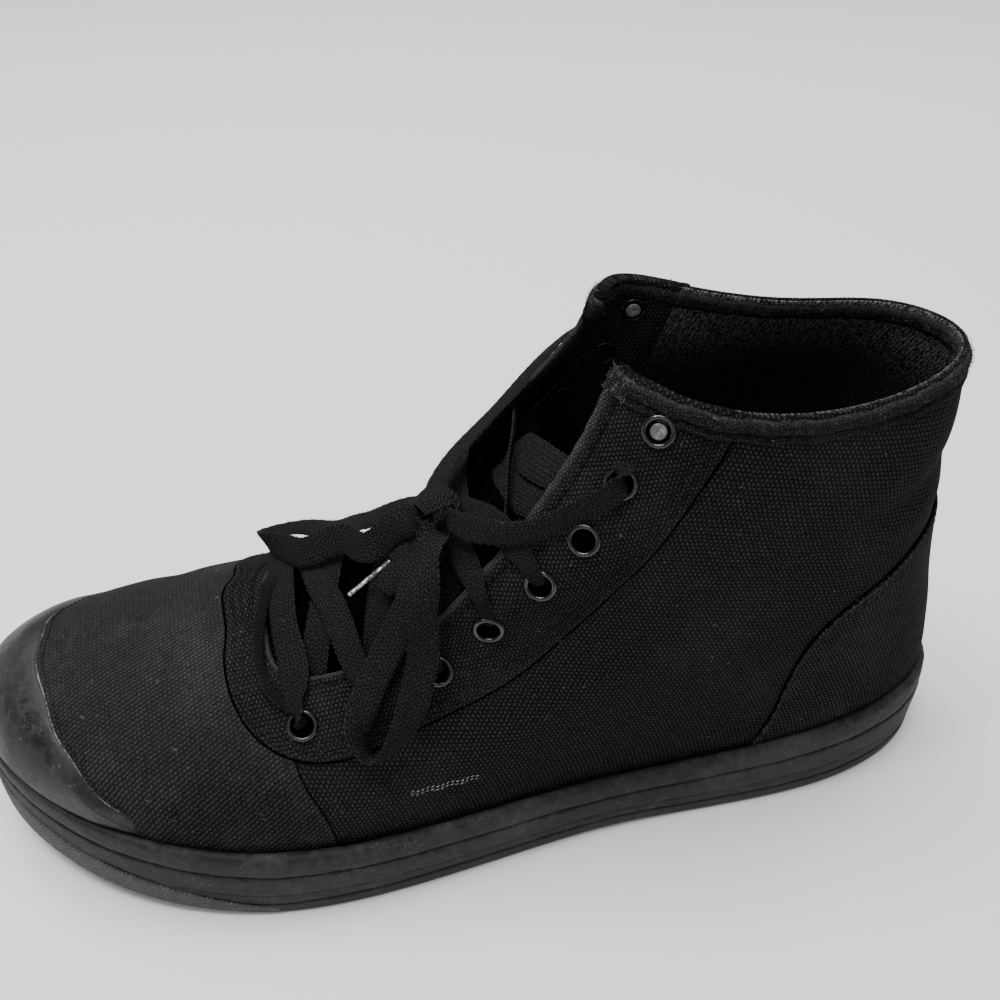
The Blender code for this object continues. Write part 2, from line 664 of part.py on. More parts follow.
def strand(name, row, side, material):
    """Lace strand from beside an eyelet, over the throat, to the other edge one row lower."""
    start, goal = eyelet_place(row, side), eyelet_place(row - 1, -side)
    run = goal - start
    first = EYELET_CLEAR / np.linalg.norm(run)
    edge = throat_edge(0.3 * start[1] + 0.7 * goal[1], -side) + side * EDGE_CLEAR
    last = (edge - start[0]) / run[0]
    shares = np.linspace(first, last, STRAND_POINTS)
    places = [start + run * share for share in shares]
    lift = LACE_LIFT + LACE_THICK / 2
    points, normals = zip(*(over_form(x, station, lift) for x, station in places))
    return ribbon(name, points, normals, LACE_WIDTH, LACE_THICK, material)


def build_crossings(material):
    """Crossed strands between neighbouring rows of eyelets, joined where they cross."""
    for row in range(1, 6):
        cross = strand(f"lace_cross_{row}", row, 1, material)
        other = hide_cutter(strand(f"strand_inner_{row}", row, -1, material))
        boolean(cross, other, "UNION")


def build_bar(material):
    """Lace bar over the throat's toe end, between the first two eyelets."""
    start, goal = eyelet_place(0, 1), eyelet_place(0, -1)
    run = goal - start
    clear = EYELET_CLEAR / np.linalg.norm(run)
    points, normals = [], []
    for share in np.linspace(clear, 1.0 - clear, STRAND_POINTS):
        bow = BAR_BOW * math.sin(math.pi * share)
        x, station = start + run * share
        point, normal = over_form(x, station + bow, LACE_LIFT + LACE_THICK / 2)
        points.append(point)
        normals.append(normal)
    ribbon("lace_bar", points, normals, LACE_WIDTH, LACE_THICK, material)


BAR_BOW = 6.0
CORD_RADIUS = 2.4
END_RADIUS = 1.9
CORD_STEP = 7.5
# Free stretches of the lace: side place, station and distance above the last
CORD_ROUTES = {
    "lace_leg_outer": ((27.0, 117.6, 3.9), (27.2, 123.1, 4.5), (26.3, 128.9, 4.9), (24.8, 135.4, 5.6),
                       (20.0, 143.6, 7.0), (11.2, 151.9, 8.8)),
    "lace_leg_inner": ((-31.2, 116.5, 4.9), (-27.5, 123.3, 4.9), (-23.5, 129.8, 5.2), (-19.2, 136.2, 6.2),
                       (-15.0, 142.5, 7.5), (-10.0, 149.4, 8.7), (-3.4, 154.4, 9.2)),
    "lace_loop_front": ((-1.7, 159.1, 8.4), (-7.6, 167.0, 7.2), (-11.6, 176.8, 6.0), (-18.0, 184.8, 5.6),
                        (-26.0, 192.0, 6.4), (-30.6, 199.4, 7.6), (-30.6, 206.0, 7.4), (-25.0, 209.6, 6.2),
                        (-15.0, 203.5, 6.4), (-7.0, 194.2, 7.0), (-1.8, 185.0, 7.8), (-1.0, 176.5, 8.8),
                        (0.0, 168.0, 9.6), (2.1, 161.6, 9.8)),
    "lace_loop_side": ((9.0, 159.3, 6.5), (19.0, 167.8, 5.4), (23.4, 174.5, 4.7), (28.8, 180.6, 4.6),
                       (35.2, 185.6, 4.7), (40.5, 187.6, 4.3), (43.4, 184.6, 4.4), (41.4, 179.2, 5.6),
                       (38.0, 174.4, 6.8), (33.6, 170.6, 8.0), (27.5, 166.6, 9.2), (22.4, 162.6, 10.2),
                       (11.8, 157.3, 10.4)),
    "lace_end_tipped": ((3.4, 164.0, 4.5), (5.2, 169.0, 4.5), (6.5, 172.2, 4.5)),
    "lace_end_frayed": ((9.4, 167.6, 4.4), (11.2, 171.6, 4.3), (13.8, 176.0, 4.3)),
}
KNOT_PLACE = (4.5, 155.0, 9.0)
KNOT_SIZE = (8.1, 6.0, 5.2)
AGLET_ROUTE = ((6.65, 172.65, 4.5), (10.8, 185.5, 4.5))
AGLET_RADIUS = 0.9


def build_cord(name, route, radius, material):
    """Plain round tube along a smooth curve through a route."""
    anchors = np.array([over_form(*row)[0] for row in route])
    reach = np.concatenate([[0.0], np.cumsum(np.linalg.norm(np.diff(anchors, axis=0), axis=1))])
    count = max(3, int(reach[-1] / CORD_STEP) + 1)
    points = smooth_curve(reach, anchors, np.linspace(0.0, reach[-1], count))
    curve = bpy.data.curves.new(name, "CURVE")
    curve.dimensions = "3D"
    curve.bevel_depth = radius * MM
    curve.bevel_resolution = 2
    curve.use_fill_caps = True
    spline = curve.splines.new("POLY")
    spline.points.add(count - 1)
    for place, point in zip(spline.points, points):
        place.co = (*(point * MM), 1.0)
    curve.materials.append(material)
    cord = bpy.data.objects.new(name, curve)
    bpy.context.scene.collection.objects.link(cord)


def build_knot(material):
    """Knot of the bow: a flattened ball above the crossed strands."""
    centre, normal = over_form(*KNOT_PLACE)
    bpy.ops.mesh.primitive_uv_sphere_add(segments=16, ring_count=8, radius=1.0)
    knot = bpy.context.object
    knot.name = "lace_knot"
    knot.data.transform(Matrix.Diagonal((*(Vector(KNOT_SIZE) * MM), 1.0)))
    knot.matrix_world = Matrix.Translation(Vector(centre * MM)) @ (
        Vector(normal).to_track_quat("Z", "Y").to_matrix().to_4x4())
    knot.data.materials.append(material)


def build_bow(material, tip_material):
    """Knot, loops and ends of the tied lace, with the bare tip on one end."""
    build_knot(material)
    for name, route in CORD_ROUTES.items():
        radius = END_RADIUS if name.startswith("lace_end") else CORD_RADIUS
        build_cord(name, route, radius, material)
    build_cord("lace_tip", AGLET_ROUTE, AGLET_RADIUS, tip_material)


def stand_over_origin():
    """Hang every piece on one empty, shifted so that the outline's middle is at the origin."""
    pieces = list(bpy.context.scene.objects)
    holder = bpy.data.objects.new("boot", None)
    bpy.context.scene.collection.objects.link(holder)
    holder.location.x = SIDE_SHIFT * MM
    for piece in pieces:
        piece.parent = holder


def main():
    """Build every piece of the boot."""
    for obj in list(bpy.data.objects):
        bpy.data.objects.remove(obj)
    rubber = finish("charcoal rubber", (0.055, 0.057, 0.060), 0.55)
    canvas = finish("black canvas", (0.028, 0.030, 0.033), 0.9)
    lining = finish("black lining", (0.018, 0.019, 0.022), 0.9)
    cotton = finish("charcoal cotton", (0.045, 0.043, 0.040), 0.95)
    metal = finish("black metal", (0.05, 0.05, 0.055), 0.3, 1.0)
    steel = finish("worn steel", (0.55, 0.55, 0.54), 0.3, 1.0)
    build_outsole(rubber)
    build_foxing(rubber)
    build_upper(canvas, (build_throat_cutter(), build_hole_cutter()))
    build_insole(lining)
    build_tongue(canvas)
    build_toe_cap(rubber)
    build_toe_bumper(rubber)
    build_eyelets(metal)
    build_crossings(cotton)
    build_bar(cotton)
    build_bow(cotton, steel)
    stand_over_origin()


main()
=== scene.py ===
"""Looks of a left high-top safety boot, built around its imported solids.

Shapes are worked out in millimetres in the boot's own frame: x to the outer side, y to the
heel, z up, with the toe at -y.  A "station" is a distance forward from the back of the sole.
Most pieces lie on the last, the smooth form inside the upper, whose surface is charted by a
turn round the foot, in degrees from the toe towards the outer side, and by a level that
climbs from 0 at the sole to 1 at the collar.
"""

import json
import logging
import math
from collections.abc import Callable
from dataclasses import dataclass
from enum import Enum
from functools import cache
from math import pi

import bpy
import numpy as np
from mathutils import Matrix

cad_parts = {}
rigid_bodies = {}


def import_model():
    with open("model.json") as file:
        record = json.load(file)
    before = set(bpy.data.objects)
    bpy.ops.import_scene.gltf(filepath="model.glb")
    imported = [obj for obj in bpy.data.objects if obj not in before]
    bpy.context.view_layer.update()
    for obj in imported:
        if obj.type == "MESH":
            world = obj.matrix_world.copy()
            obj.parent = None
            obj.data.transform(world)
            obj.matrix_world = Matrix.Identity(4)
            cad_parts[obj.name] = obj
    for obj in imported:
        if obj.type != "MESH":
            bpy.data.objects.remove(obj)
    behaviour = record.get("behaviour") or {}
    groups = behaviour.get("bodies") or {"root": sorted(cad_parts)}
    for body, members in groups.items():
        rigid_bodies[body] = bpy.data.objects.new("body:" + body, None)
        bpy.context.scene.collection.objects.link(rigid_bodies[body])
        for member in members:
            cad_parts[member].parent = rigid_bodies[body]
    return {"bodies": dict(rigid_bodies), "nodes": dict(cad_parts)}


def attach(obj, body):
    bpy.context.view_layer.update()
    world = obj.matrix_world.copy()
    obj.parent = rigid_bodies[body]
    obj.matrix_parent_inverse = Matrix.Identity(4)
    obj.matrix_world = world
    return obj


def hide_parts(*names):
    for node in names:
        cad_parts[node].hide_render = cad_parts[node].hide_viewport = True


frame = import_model()

Array = np.ndarray
Piece = bpy.types.Object
Material = bpy.types.Material
Socket = bpy.types.NodeSocket
log = logging.getLogger("boot")
MM = 0.001
BODY = next(iter(frame["bodies"]))


# ---- curves and meshes

def smooth_curve(knots: Array, values: Array, at: Array, period: float | None = None) -> Array:
    """Values of the smooth cubic through values at knots, at each place in the array at.

    The slopes at the knots solve the tridiagonal system that makes the bend continuous.

    Args:
        knots: Places of the values, rising.
        values: One row, or one number, for each knot.
        at: Places to read.
        period: Length of one round of a closed curve, or None for an open one.

    Returns:
        One row for each place.
    """
    knots = np.asarray(knots, float)
    values = np.asarray(values, float).reshape(len(knots), -1)
    here = np.arange(len(knots))
    near = 1 / np.diff(np.append(knots, knots[0] + period if period else knots[-1] + 1))
    if period is None:
        near[-1] = 0
    rise = 3 * (np.roll(values, -1, axis=0) - values) * near[:, None] ** 2
    system = np.diag(2 * (near + np.roll(near, 1)))
    system[here, here - len(knots) + 1] += near
    system[here - len(knots) + 1, here] += near
    slopes = np.linalg.solve(system, rise + np.roll(rise, 1, axis=0))
    if period:
        at = knots[0] + np.mod(at - knots[0], period)
        knots = np.append(knots, knots[0] + period)
        values, slopes = (np.vstack([rows, rows[:1]]) for rows in (values, slopes))
    cell = np.clip(np.searchsorted(knots, at, side="right") - 1, 0, len(knots) - 2)
    width = (knots[cell + 1] - knots[cell])[:, None]
    t = (at - knots[cell])[:, None] / width
    return ((2 * t ** 3 - 3 * t ** 2 + 1) * values[cell] + (t ** 3 - 2 * t ** 2 + t) * width * slopes[cell]
            + (3 * t ** 2 - 2 * t ** 3) * values[cell + 1] + (t ** 3 - t ** 2) * width * slopes[cell + 1])


def reach_along(points: Array) -> Array:
    """Distance along a row of points from its first one."""
    steps = np.linalg.norm(np.diff(points, axis=0), axis=1)
    return np.concatenate([[0], np.cumsum(steps)])


def rows_at(wanted: Array, reach: Array, rows: Array) -> Array:
    """Rows of a table read at distances along it, in straight steps between its own rows."""
    return np.stack([np.interp(wanted, reach, rows[:, c]) for c in range(rows.shape[1])], axis=1)


def smooth_path(anchors: Array, count: int) -> Array:
    """Evenly spaced points on the smooth curve through a route's anchors.

    Args:
        anchors: Points, one row each; further columns are carried along.
        count: How many points to return.

    Returns:
        One row for each point.
    """
    anchors = np.asarray(anchors, float)
    knots = reach_along(anchors[:, :3])
    dense = smooth_curve(knots, anchors, np.linspace(0, knots[-1], 40 * len(anchors)))
    reach = reach_along(dense[:, :3])
    return rows_at(np.linspace(0, reach[-1], count), reach, dense)


def held(values: Array) -> Array:
    """Values held between 0 and 1."""
    return np.clip(values, 0, 1)


def unit(vectors: Array) -> Array:
    """Vectors scaled to length 1."""
    return vectors / np.maximum(np.linalg.norm(vectors, axis=-1, keepdims=True), 1e-12)


def whole_round(count: int) -> Array:
    """Evenly spaced turns of one round, in radians."""
    return np.arange(count) * 2 * pi / count


def round_rings(centres: Array, across: Array, up: Array, sides: int) -> Array:
    """Rings about centres: the cosine of the turn times across, and its sine times up."""
    turn = whole_round(sides)[:, None]
    return centres[:, None] + np.cos(turn) * across[:, None] + np.sin(turn) * up[:, None]


def squared_off(wave: Array, power: float) -> Array:
    """A wave from -1 to 1 with its flanks made steeper by a power below 1."""
    return np.sign(wave) * np.abs(wave) ** power


def net(along: Array, across: Array) -> Array:
    """Cloth coordinates of a grid from its distances along and across."""
    return np.stack(np.broadcast_arrays(along[:, None], across), axis=-1)


def cell_values(table: Array, row: Array, column: Array) -> Array:
    """Values of a table between its entries, by straight steps both ways."""
    r, c = (np.clip(place.astype(int), 0, size - 2) for place, size in zip((row, column), table.shape))
    up, right = row - r, column - c
    return ((1 - up) * ((1 - right) * table[r, c] + right * table[r, c + 1])
            + up * ((1 - right) * table[r + 1, c] + right * table[r + 1, c + 1]))


def grid_faces(rows: int, columns: int, close_rows: bool = False, close_columns: bool = False) -> Array:
    """Quads of a grid of points, numbered row by row.

    Args:
        rows: Rows of points.
        columns: Points in a row.
        close_rows: Whether the last row is joined to the first.
        close_columns: Whether each row's end is joined to its start.

    Returns:
        Array of shape (faces, 4), facing the side where columns run left and rows run up.
    """
    r = np.arange(rows if close_rows else rows - 1)[:, None]
    c = np.arange(columns if close_columns else columns - 1)[None, :]
    r2, c2 = (r + 1) % rows, (c + 1) % columns
    quads = np.stack([r * columns + c, r * columns + c2, r2 * columns + c2, r2 * columns + c], axis=-1)
    return quads.reshape(-1, 4)


def add_mesh(name: str, points: Array, faces: list | Array, uv: Array | None = None,
             material: Material | None = None) -> Piece:
    """Object at the origin whose mesh has the given points, in millimetres.

    Args:
        name: The piece's name.
        points: Array whose last axis is x, y, z.
        faces: Point numbers of each face.
        uv: Cloth coordinates of each point, in millimetres.
        material: The piece's finish.

    Returns:
        The new object, shaded smooth.
    """
    mesh = bpy.data.meshes.new(name)
    faces = faces.tolist() if isinstance(faces, np.ndarray) else faces
    mesh.from_pydata((np.asarray(points).reshape(-1, 3) * MM).tolist(), [], faces)
    mesh.polygons.foreach_set("use_smooth", np.ones(len(mesh.polygons), bool))
    if uv is not None:
        corner = np.empty(len(mesh.loops), int)
        mesh.loops.foreach_get("vertex_index", corner)
        layer = mesh.uv_layers.new(name="cloth")
        layer.data.foreach_set("uv", np.asarray(uv, float).reshape(-1, 2)[corner].ravel())
    mesh.materials.append(material)
    mesh.update()
    obj = bpy.data.objects.new(name, mesh)
    bpy.context.scene.collection.objects.link(obj)
    return obj


def mark_shade_and_wear(obj: Piece, seam: Array) -> None:
    """Say of each point how deep in a crevice its cloth is (below 0, where painted shade goes) or how rubbed
    it is (above 0).
    """
    layer = obj.data.attributes.new("seam", "FLOAT", "POINT")
    layer.data.foreach_set("value", np.ascontiguousarray(seam, np.float32).ravel())


def add_sweep(name: str, rings: Array, uv: Array, material: Material,
              closed_path: bool = False) -> Piece:
    """Solid swept along a path: closed cross-sections joined in order, with flat ends.

    Args:
        name: The piece's name.
        rings: Array (stations of the path, points round the section, 3).
        uv: Cloth coordinates of the same points.
        material: The piece's finish.
        closed_path: Whether the last section joins the first.

    Returns:
        The new object.
    """
    count, around = rings.shape[:2]
    quads = grid_faces(count, around, closed_path, True)
    faces = quads.tolist()
    if not closed_path:
        last = (count - 1) * around
        faces += [list(range(around))[::-1], [last + i for i in range(around)]]
    obj = add_mesh(name, rings, faces, uv, material)
    # the sides' signed volume about the middle is below 0 where faces point inwards
    a, b, c, d = np.moveaxis((rings.reshape(-1, 3) - rings.mean(axis=(0, 1)))[quads], 1, 0)
    if np.sum(a * (np.cross(b, c) + np.cross(c, d))) < 0:
        obj.data.flip_normals()
    return obj


def settle(piece: Piece, slot: str, *nodes: str) -> Piece:
    """Attach a finished piece to the boot's body, hide the nodes that it stands for, and log its faces."""
    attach(piece, BODY)
    if nodes:
        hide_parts(*nodes)
    log.info("%s: %d faces", piece.name, len(piece.data.polygons))
    return piece


# ---- the last

@dataclass(frozen=True)
class Crease:
    """A soft ridge (height above 0) or trough of the cloth along a smooth line on the last."""

    route: tuple[tuple[float, float], ...]
    width: float
    height: float


@dataclass(frozen=True)
class Last:
    """The form inside the upper, given ring by ring from the sole's feather line to the collar."""

    length: float = 300
    side_shift: float = -1.9
    columns: tuple[str, ...] = ("front_s", "front_z", "back_s", "back_z", "bend", "dip", "lean",
                                "out_toe", "out_ball", "out_waist", "out_heel",
                                "in_toe", "in_ball", "in_waist", "in_heel", "tip", "tail",
                                "push")
    rows: tuple[tuple[float, ...], ...] = (
        (296.5, 22.8, 3.8, 12.3, 4, 0, 0, 35, 51, 38, 31.4, 39, 46.5, 32.5, 30, -8, 1, -2),
        (297, 36, 3, 31, 3, 0, 0, 35, 51, 38.5, 31.8, 39, 46, 33, 30.5, -8, 1, -2.5),
        (293, 47, 3, 46, 1.5, 0, 0, 33, 47, 38, 31.8, 35.5, 42.5, 33.5, 30.5, -7.5, 1, -0.3),
        (280, 57, 3.5, 58, 1, 0, 0, 26.5, 40.5, 37, 31.6, 27.5, 37, 34, 30, -6, 1, 1.8),
        (257, 63, 5, 69, 1, 0, 0, 21, 35.5, 36.2, 31.2, 20, 32.5, 34, 29.5, -4.5, 1, 3.3),
        (226, 68, 7.5, 79, 1, 0, 0, 19.5, 33, 35.6, 30.8, 18, 31, 34, 29, -3, 1, 3.3),
        (198, 76, 10, 89, 1, 0, 0, 21, 33, 35, 30, 20, 31.5, 33.5, 28.5, -2, 1, 3),
        (173, 87, 12, 98.5, 1, 0, 0, 27, 34, 34.5, 29, 26, 33, 33, 27.5, -1, 1, 3.1),
        (153, 101.5, 13.5, 109, 1, 0, 0, 30.5, 34, 33.5, 28, 30, 33.5, 32.5, 26.5, 0, 1, 4.2),
        (137.5, 118.5, 14.5, 121, 1, 1, 0.5, 29, 33, 32, 26, 31, 33, 31, 25.5, 0, 1, 3.2),
        (125, 137, 16.5, 134, 1, 2.5, 1.5, 24.5, 31, 30, 23.5, 31, 32, 28.5, 23.5, 0, 0.5, 0.6),
        (118, 154.5, 18.5, 149, 1, 4.5, 2.5, 19.5, 28.8, 27.6, 18.5, 31, 30.5, 25, 21, 0, 0, -0.6),
    )
    # widths in the order of the compass turns, and the cosines of those turns on each side
    widths: tuple[str, ...] = ("tip", "out_toe", "out_ball", "out_waist", "out_heel", "tail", "in_heel",
                               "in_waist", "in_ball", "in_toe")
    compass: tuple[float, ...] = (0.8, 0.35, -0.2, -0.7)
    creases: tuple[Crease, ...] = (
        # pull from the heel counter's seam up the back of the ankle, and the fold above it
        Crease(((168, 0.84), (150, 0.8), (132, 0.77), (118, 0.74)), 5, -1.3),
        Crease(((172, 0.755), (155, 0.725), (138, 0.7)), 6.5, 1.1),
        # slack of the quarter between the lacing and the heel
        Crease(((96, 0.42), (84, 0.3), (74, 0.2), (69, 0.12)), 7, -1),
        Crease(((104, 0.36), (93, 0.25), (84, 0.15)), 9, 0.7),
        Crease(((118, 0.72), (104, 0.62), (96, 0.5)), 9, -0.7),
        Crease(((118, 0.3), (110, 0.42), (106, 0.56)), 8, 0.5),
        # bend of the foot across the vamp
        Crease(((62, 0.1), (52, 0.22), (36, 0.34), (10, 0.4)), 6, -0.6),
        Crease(((57, 0.06), (47, 0.18), (28, 0.3), (-10, 0.345)), 7, 0.5),
        Crease(((-60, 0.1), (-50, 0.22), (-34, 0.34)), 6, -0.8),
        # inner edge of the throat, pulled up by the lace
        Crease(((-31, 0.64), (-26, 0.74), (-23.5, 0.84), (-22, 0.94)), 8, 3.4),
        # inner side
        Crease(((-100, 0.4), (-88, 0.28), (-78, 0.16)), 8, -1),
        Crease(((-120, 0.7), (-106, 0.58), (-96, 0.46)), 8, -0.8),
    )

    def ring(self, level: Array) -> dict[str, Array]:
        """Named values of the rings at the given levels, by smooth curves through the rows."""
        values = smooth_curve(np.linspace(0, 1, len(self.rows)), np.array(self.rows), level)
        return {name: values[:, i] for i, name in enumerate(self.columns)}

    def compass_turns(self) -> list[float]:
        """The ten turns, in radians, at which a ring's width is given, toe first."""
        outer = [math.acos(share) for share in self.compass]
        inner = [2 * pi - turn for turn in reversed(outer)]
        return [0] + outer + [pi] + inner

    def bare(self, turn: Array, level: Array) -> Array:
        """Point of the last: along a ring the station is the cosine of the turn, pushed forward
        at the back by the cube of the cosine, and the side place is the smooth closed curve
        through the ring's widths.

        Args:
            turn: Turns in radians.
            level: Levels, 0 to 1.

        Returns:
            Points, in millimetres, of the same shape and a last axis of three.
        """
        turn, level = np.broadcast_arrays(np.asarray(turn, float), np.asarray(level, float))
        shape = turn.shape
        flat_turn, flat_level = turn.ravel(), level.ravel()
        col = self.ring(flat_level)
        sides = np.stack([-col[name] if name.startswith("in_") else col[name] for name in self.widths],
                         axis=1)
        basis = smooth_curve(np.array(self.compass_turns()), np.eye(10), flat_turn, 2 * pi)
        along = 0.5 + 0.5 * np.cos(flat_turn)
        x = (basis * sides).sum(axis=1) + self.side_shift
        s = col["back_s"] + (col["front_s"] - col["back_s"]) * along
        s = s + col["push"] * held(-np.cos(flat_turn)) ** 3
        climb = along ** np.clip(col["bend"], 1, 4)
        z = col["back_z"] + (col["front_z"] - col["back_z"]) * climb
        z = z - col["dip"] * np.sin(flat_turn) ** 2 - col["lean"] * np.sin(flat_turn) * along ** 2
        return np.stack([x, self.length / 2 - s, z], axis=1).reshape(shape + (3,))

    def normal(self, turn: Array, level: Array) -> Array:
        """Outward direction of the last, from small steps along and across the rings."""
        step = 1e-3
        low, high = held(level - step), held(level + step)
        across = self.bare(turn, high) - self.bare(turn, low)
        along = self.bare(turn + step, level) - self.bare(turn - step, level)
        return unit(np.cross(along, across))

    def relief(self, points: Array) -> Array:
        """Height of the creases at points of the last: a bell across each crease's line, fading
        towards both its ends."""
        flat = points.reshape(-1, 3)
        total = np.zeros(len(flat))
        for crease in self.creases:
            route = np.array(crease.route)
            line = smooth_path(self.bare(np.radians(route[:, 0]), route[:, 1]), 24)
            near = np.nonzero(np.all((flat > line.min(0) - 3 * crease.width)
                                     & (flat < line.max(0) + 3 * crease.width), axis=1))[0]
            gap = np.linalg.norm(flat[near][:, None, :] - line[None, :, :], axis=2)
            closest = gap.argmin(axis=1)
            fade = np.sin(pi * (closest + 0.5) / len(line)) ** 0.6
            total[near] += crease.height * fade * np.exp(-(gap.min(axis=1) / crease.width) ** 2)
        return total.reshape(points.shape[:-1])

    def cloth(self, turn: Array, level: Array, proud: float | Array = 0) -> Array:
        """Point of the creased cloth on the last, standing proud of it."""
        turn, level = np.broadcast_arrays(np.asarray(turn, float), np.asarray(level, float))
        point = self.bare(turn, level)
        rise = np.asarray(proud, float) + self.relief(point)
        return point + self.normal(turn, level) * rise[..., None]

    def crown(self, x: float, station: float) -> tuple[float, float]:
        """Turn and level of the last's surface over a place in plan.

        A ring meets the station at the turn whose cosine says how far forward it lies; the
        level sought is the one whose ring has the wanted side place there.
        """
        levels = np.linspace(0, 1, 400)
        col = self.ring(levels)
        reached = np.nonzero(col["front_s"] >= station)[0][-1]
        side = 1 if x >= col["tip"][reached] else -1
        level = levels[reached] * (1 - np.linspace(0, 1, 160) ** 2)
        col = self.ring(level)
        along = (station - col["back_s"]) / (col["front_s"] - col["back_s"])
        turn = np.arccos(np.clip(2 * along - 1, -1, 1)) * side
        spread = side * (self.bare(turn, level)[:, 0] - self.side_shift)
        first = max(int(np.argmax(spread >= side * x)), 1)
        share = (side * x - spread[first - 1]) / max(spread[first] - spread[first - 1], 1e-9)
        share = min(max(share, 0), 1)
        return (turn[first - 1] + share * (turn[first] - turn[first - 1]),
                level[first - 1] + share * (level[first] - level[first - 1]))

    def over(self, x: float, station: float, proud: float) -> tuple[Array, Array]:
        """Point and outward direction above a place in plan, standing proud of the last."""
        turn, level = (np.array([value]) for value in self.crown(x, station))
        normal = self.normal(turn, level)[0]
        return self.bare(turn, level)[0] + normal * proud, normal


LAST = Last()
# points of a line before it is cut into even steps
FINE = 500


def places(rows: tuple, count: int) -> Array:
    """Charts of evenly spaced stations along a smooth line through rows of places.

    Args:
        rows: Rows of one or more places, each a turn in degrees and a level.
        count: Stations wanted.

    Returns:
        Array (count, places in a row, 2), with turns in radians.
    """
    table = np.array(rows, float).reshape(len(rows), -1, 2)
    table[..., 0] = np.radians(table[..., 0])
    middle = LAST.bare(table[..., 0], table[..., 1]).mean(axis=1)
    knots = reach_along(middle)
    dense = smooth_curve(knots, table.reshape(len(rows), -1), np.linspace(0, knots[-1], FINE))
    dense = dense.reshape(FINE, -1, 2)
    dense[..., 1] = held(dense[..., 1])
    reach = reach_along(LAST.bare(dense[..., 0], dense[..., 1]).mean(axis=1))
    even = rows_at(np.linspace(0, reach[-1], count), reach, dense.reshape(FINE, -1))
    return even.reshape(count, -1, 2)


class Chart(Enum):
    """How cloth coordinates are laid on a piece."""

    QUARTER = "way round from the heel, way up"
    VAMP = "way from the ridge, station"
    FLAT = "the piece laid out flat"


def girth_tables() -> tuple[Array, Array]:
    """The cloth's way round from the heel and its way up, for rows of levels and columns of turns.

    Each ring is unrolled from the heel on both sides: its steps are split into a level part,
    which is below 0 on the outer side, and a part straight up the last.
    """
    turn = np.radians(np.linspace(-180, 180, 361))
    level = np.linspace(0, 1, 81)
    points = LAST.bare(turn[None, :], level[:, None])
    middle = 0.5 * (turn[1:] + turn[:-1])
    normal = LAST.normal(*np.broadcast_arrays(middle[None, :], level[:, None]))
    level_way = unit(np.cross((0, 0, 1), normal))
    steps = np.diff(points, axis=1)
    tables = []
    for way in (level_way, np.cross(normal, level_way)):
        reach = np.cumsum(np.sum(steps * way, axis=-1), axis=1)
        reach = np.pad(reach, ((0, 0), (1, 0)))
        tables.append(np.where(turn[None, :] > 0, reach - reach[:, -1:], reach))
    return tables[0], tables[1] + reach_along(points[:, 0])[:, None]


GIRTH = girth_tables()


def cloth_coordinates(chart: Chart, turn: Array, level: Array, points: Array) -> Array:
    """Cloth coordinates, in millimetres, of points of the upper.

    Args:
        chart: Which layout, VAMP or QUARTER.
        turn: Turns in radians.
        level: Levels.
        points: The same places in the boot's frame.

    Returns:
        Array whose last axis is the two coordinates.
    """
    if chart is Chart.VAMP:
        levels = np.linspace(0, 0.8, 80)
        ridge = LAST.bare(np.zeros_like(levels), levels)
        order = np.argsort(ridge[:, 1])
        top = np.interp(points[..., 1], ridge[order, 1], ridge[order, 2])
        middle = np.interp(points[..., 1], ridge[order, 1], ridge[order, 0])
        side = points[..., 0] - middle
        way = np.sign(side) * np.hypot(side, np.maximum(top - points[..., 2], 0))
        return np.stack([way, points[..., 1]], axis=-1)
    rows, columns = GIRTH[0].shape
    column = np.mod(turn + pi, 2 * pi) / (2 * pi) * (columns - 1)
    return np.stack([cell_values(table, level * (rows - 1), column) for table in GIRTH], axis=-1)


# width that a panel's edge profiles need at the least
NARROWEST = 4


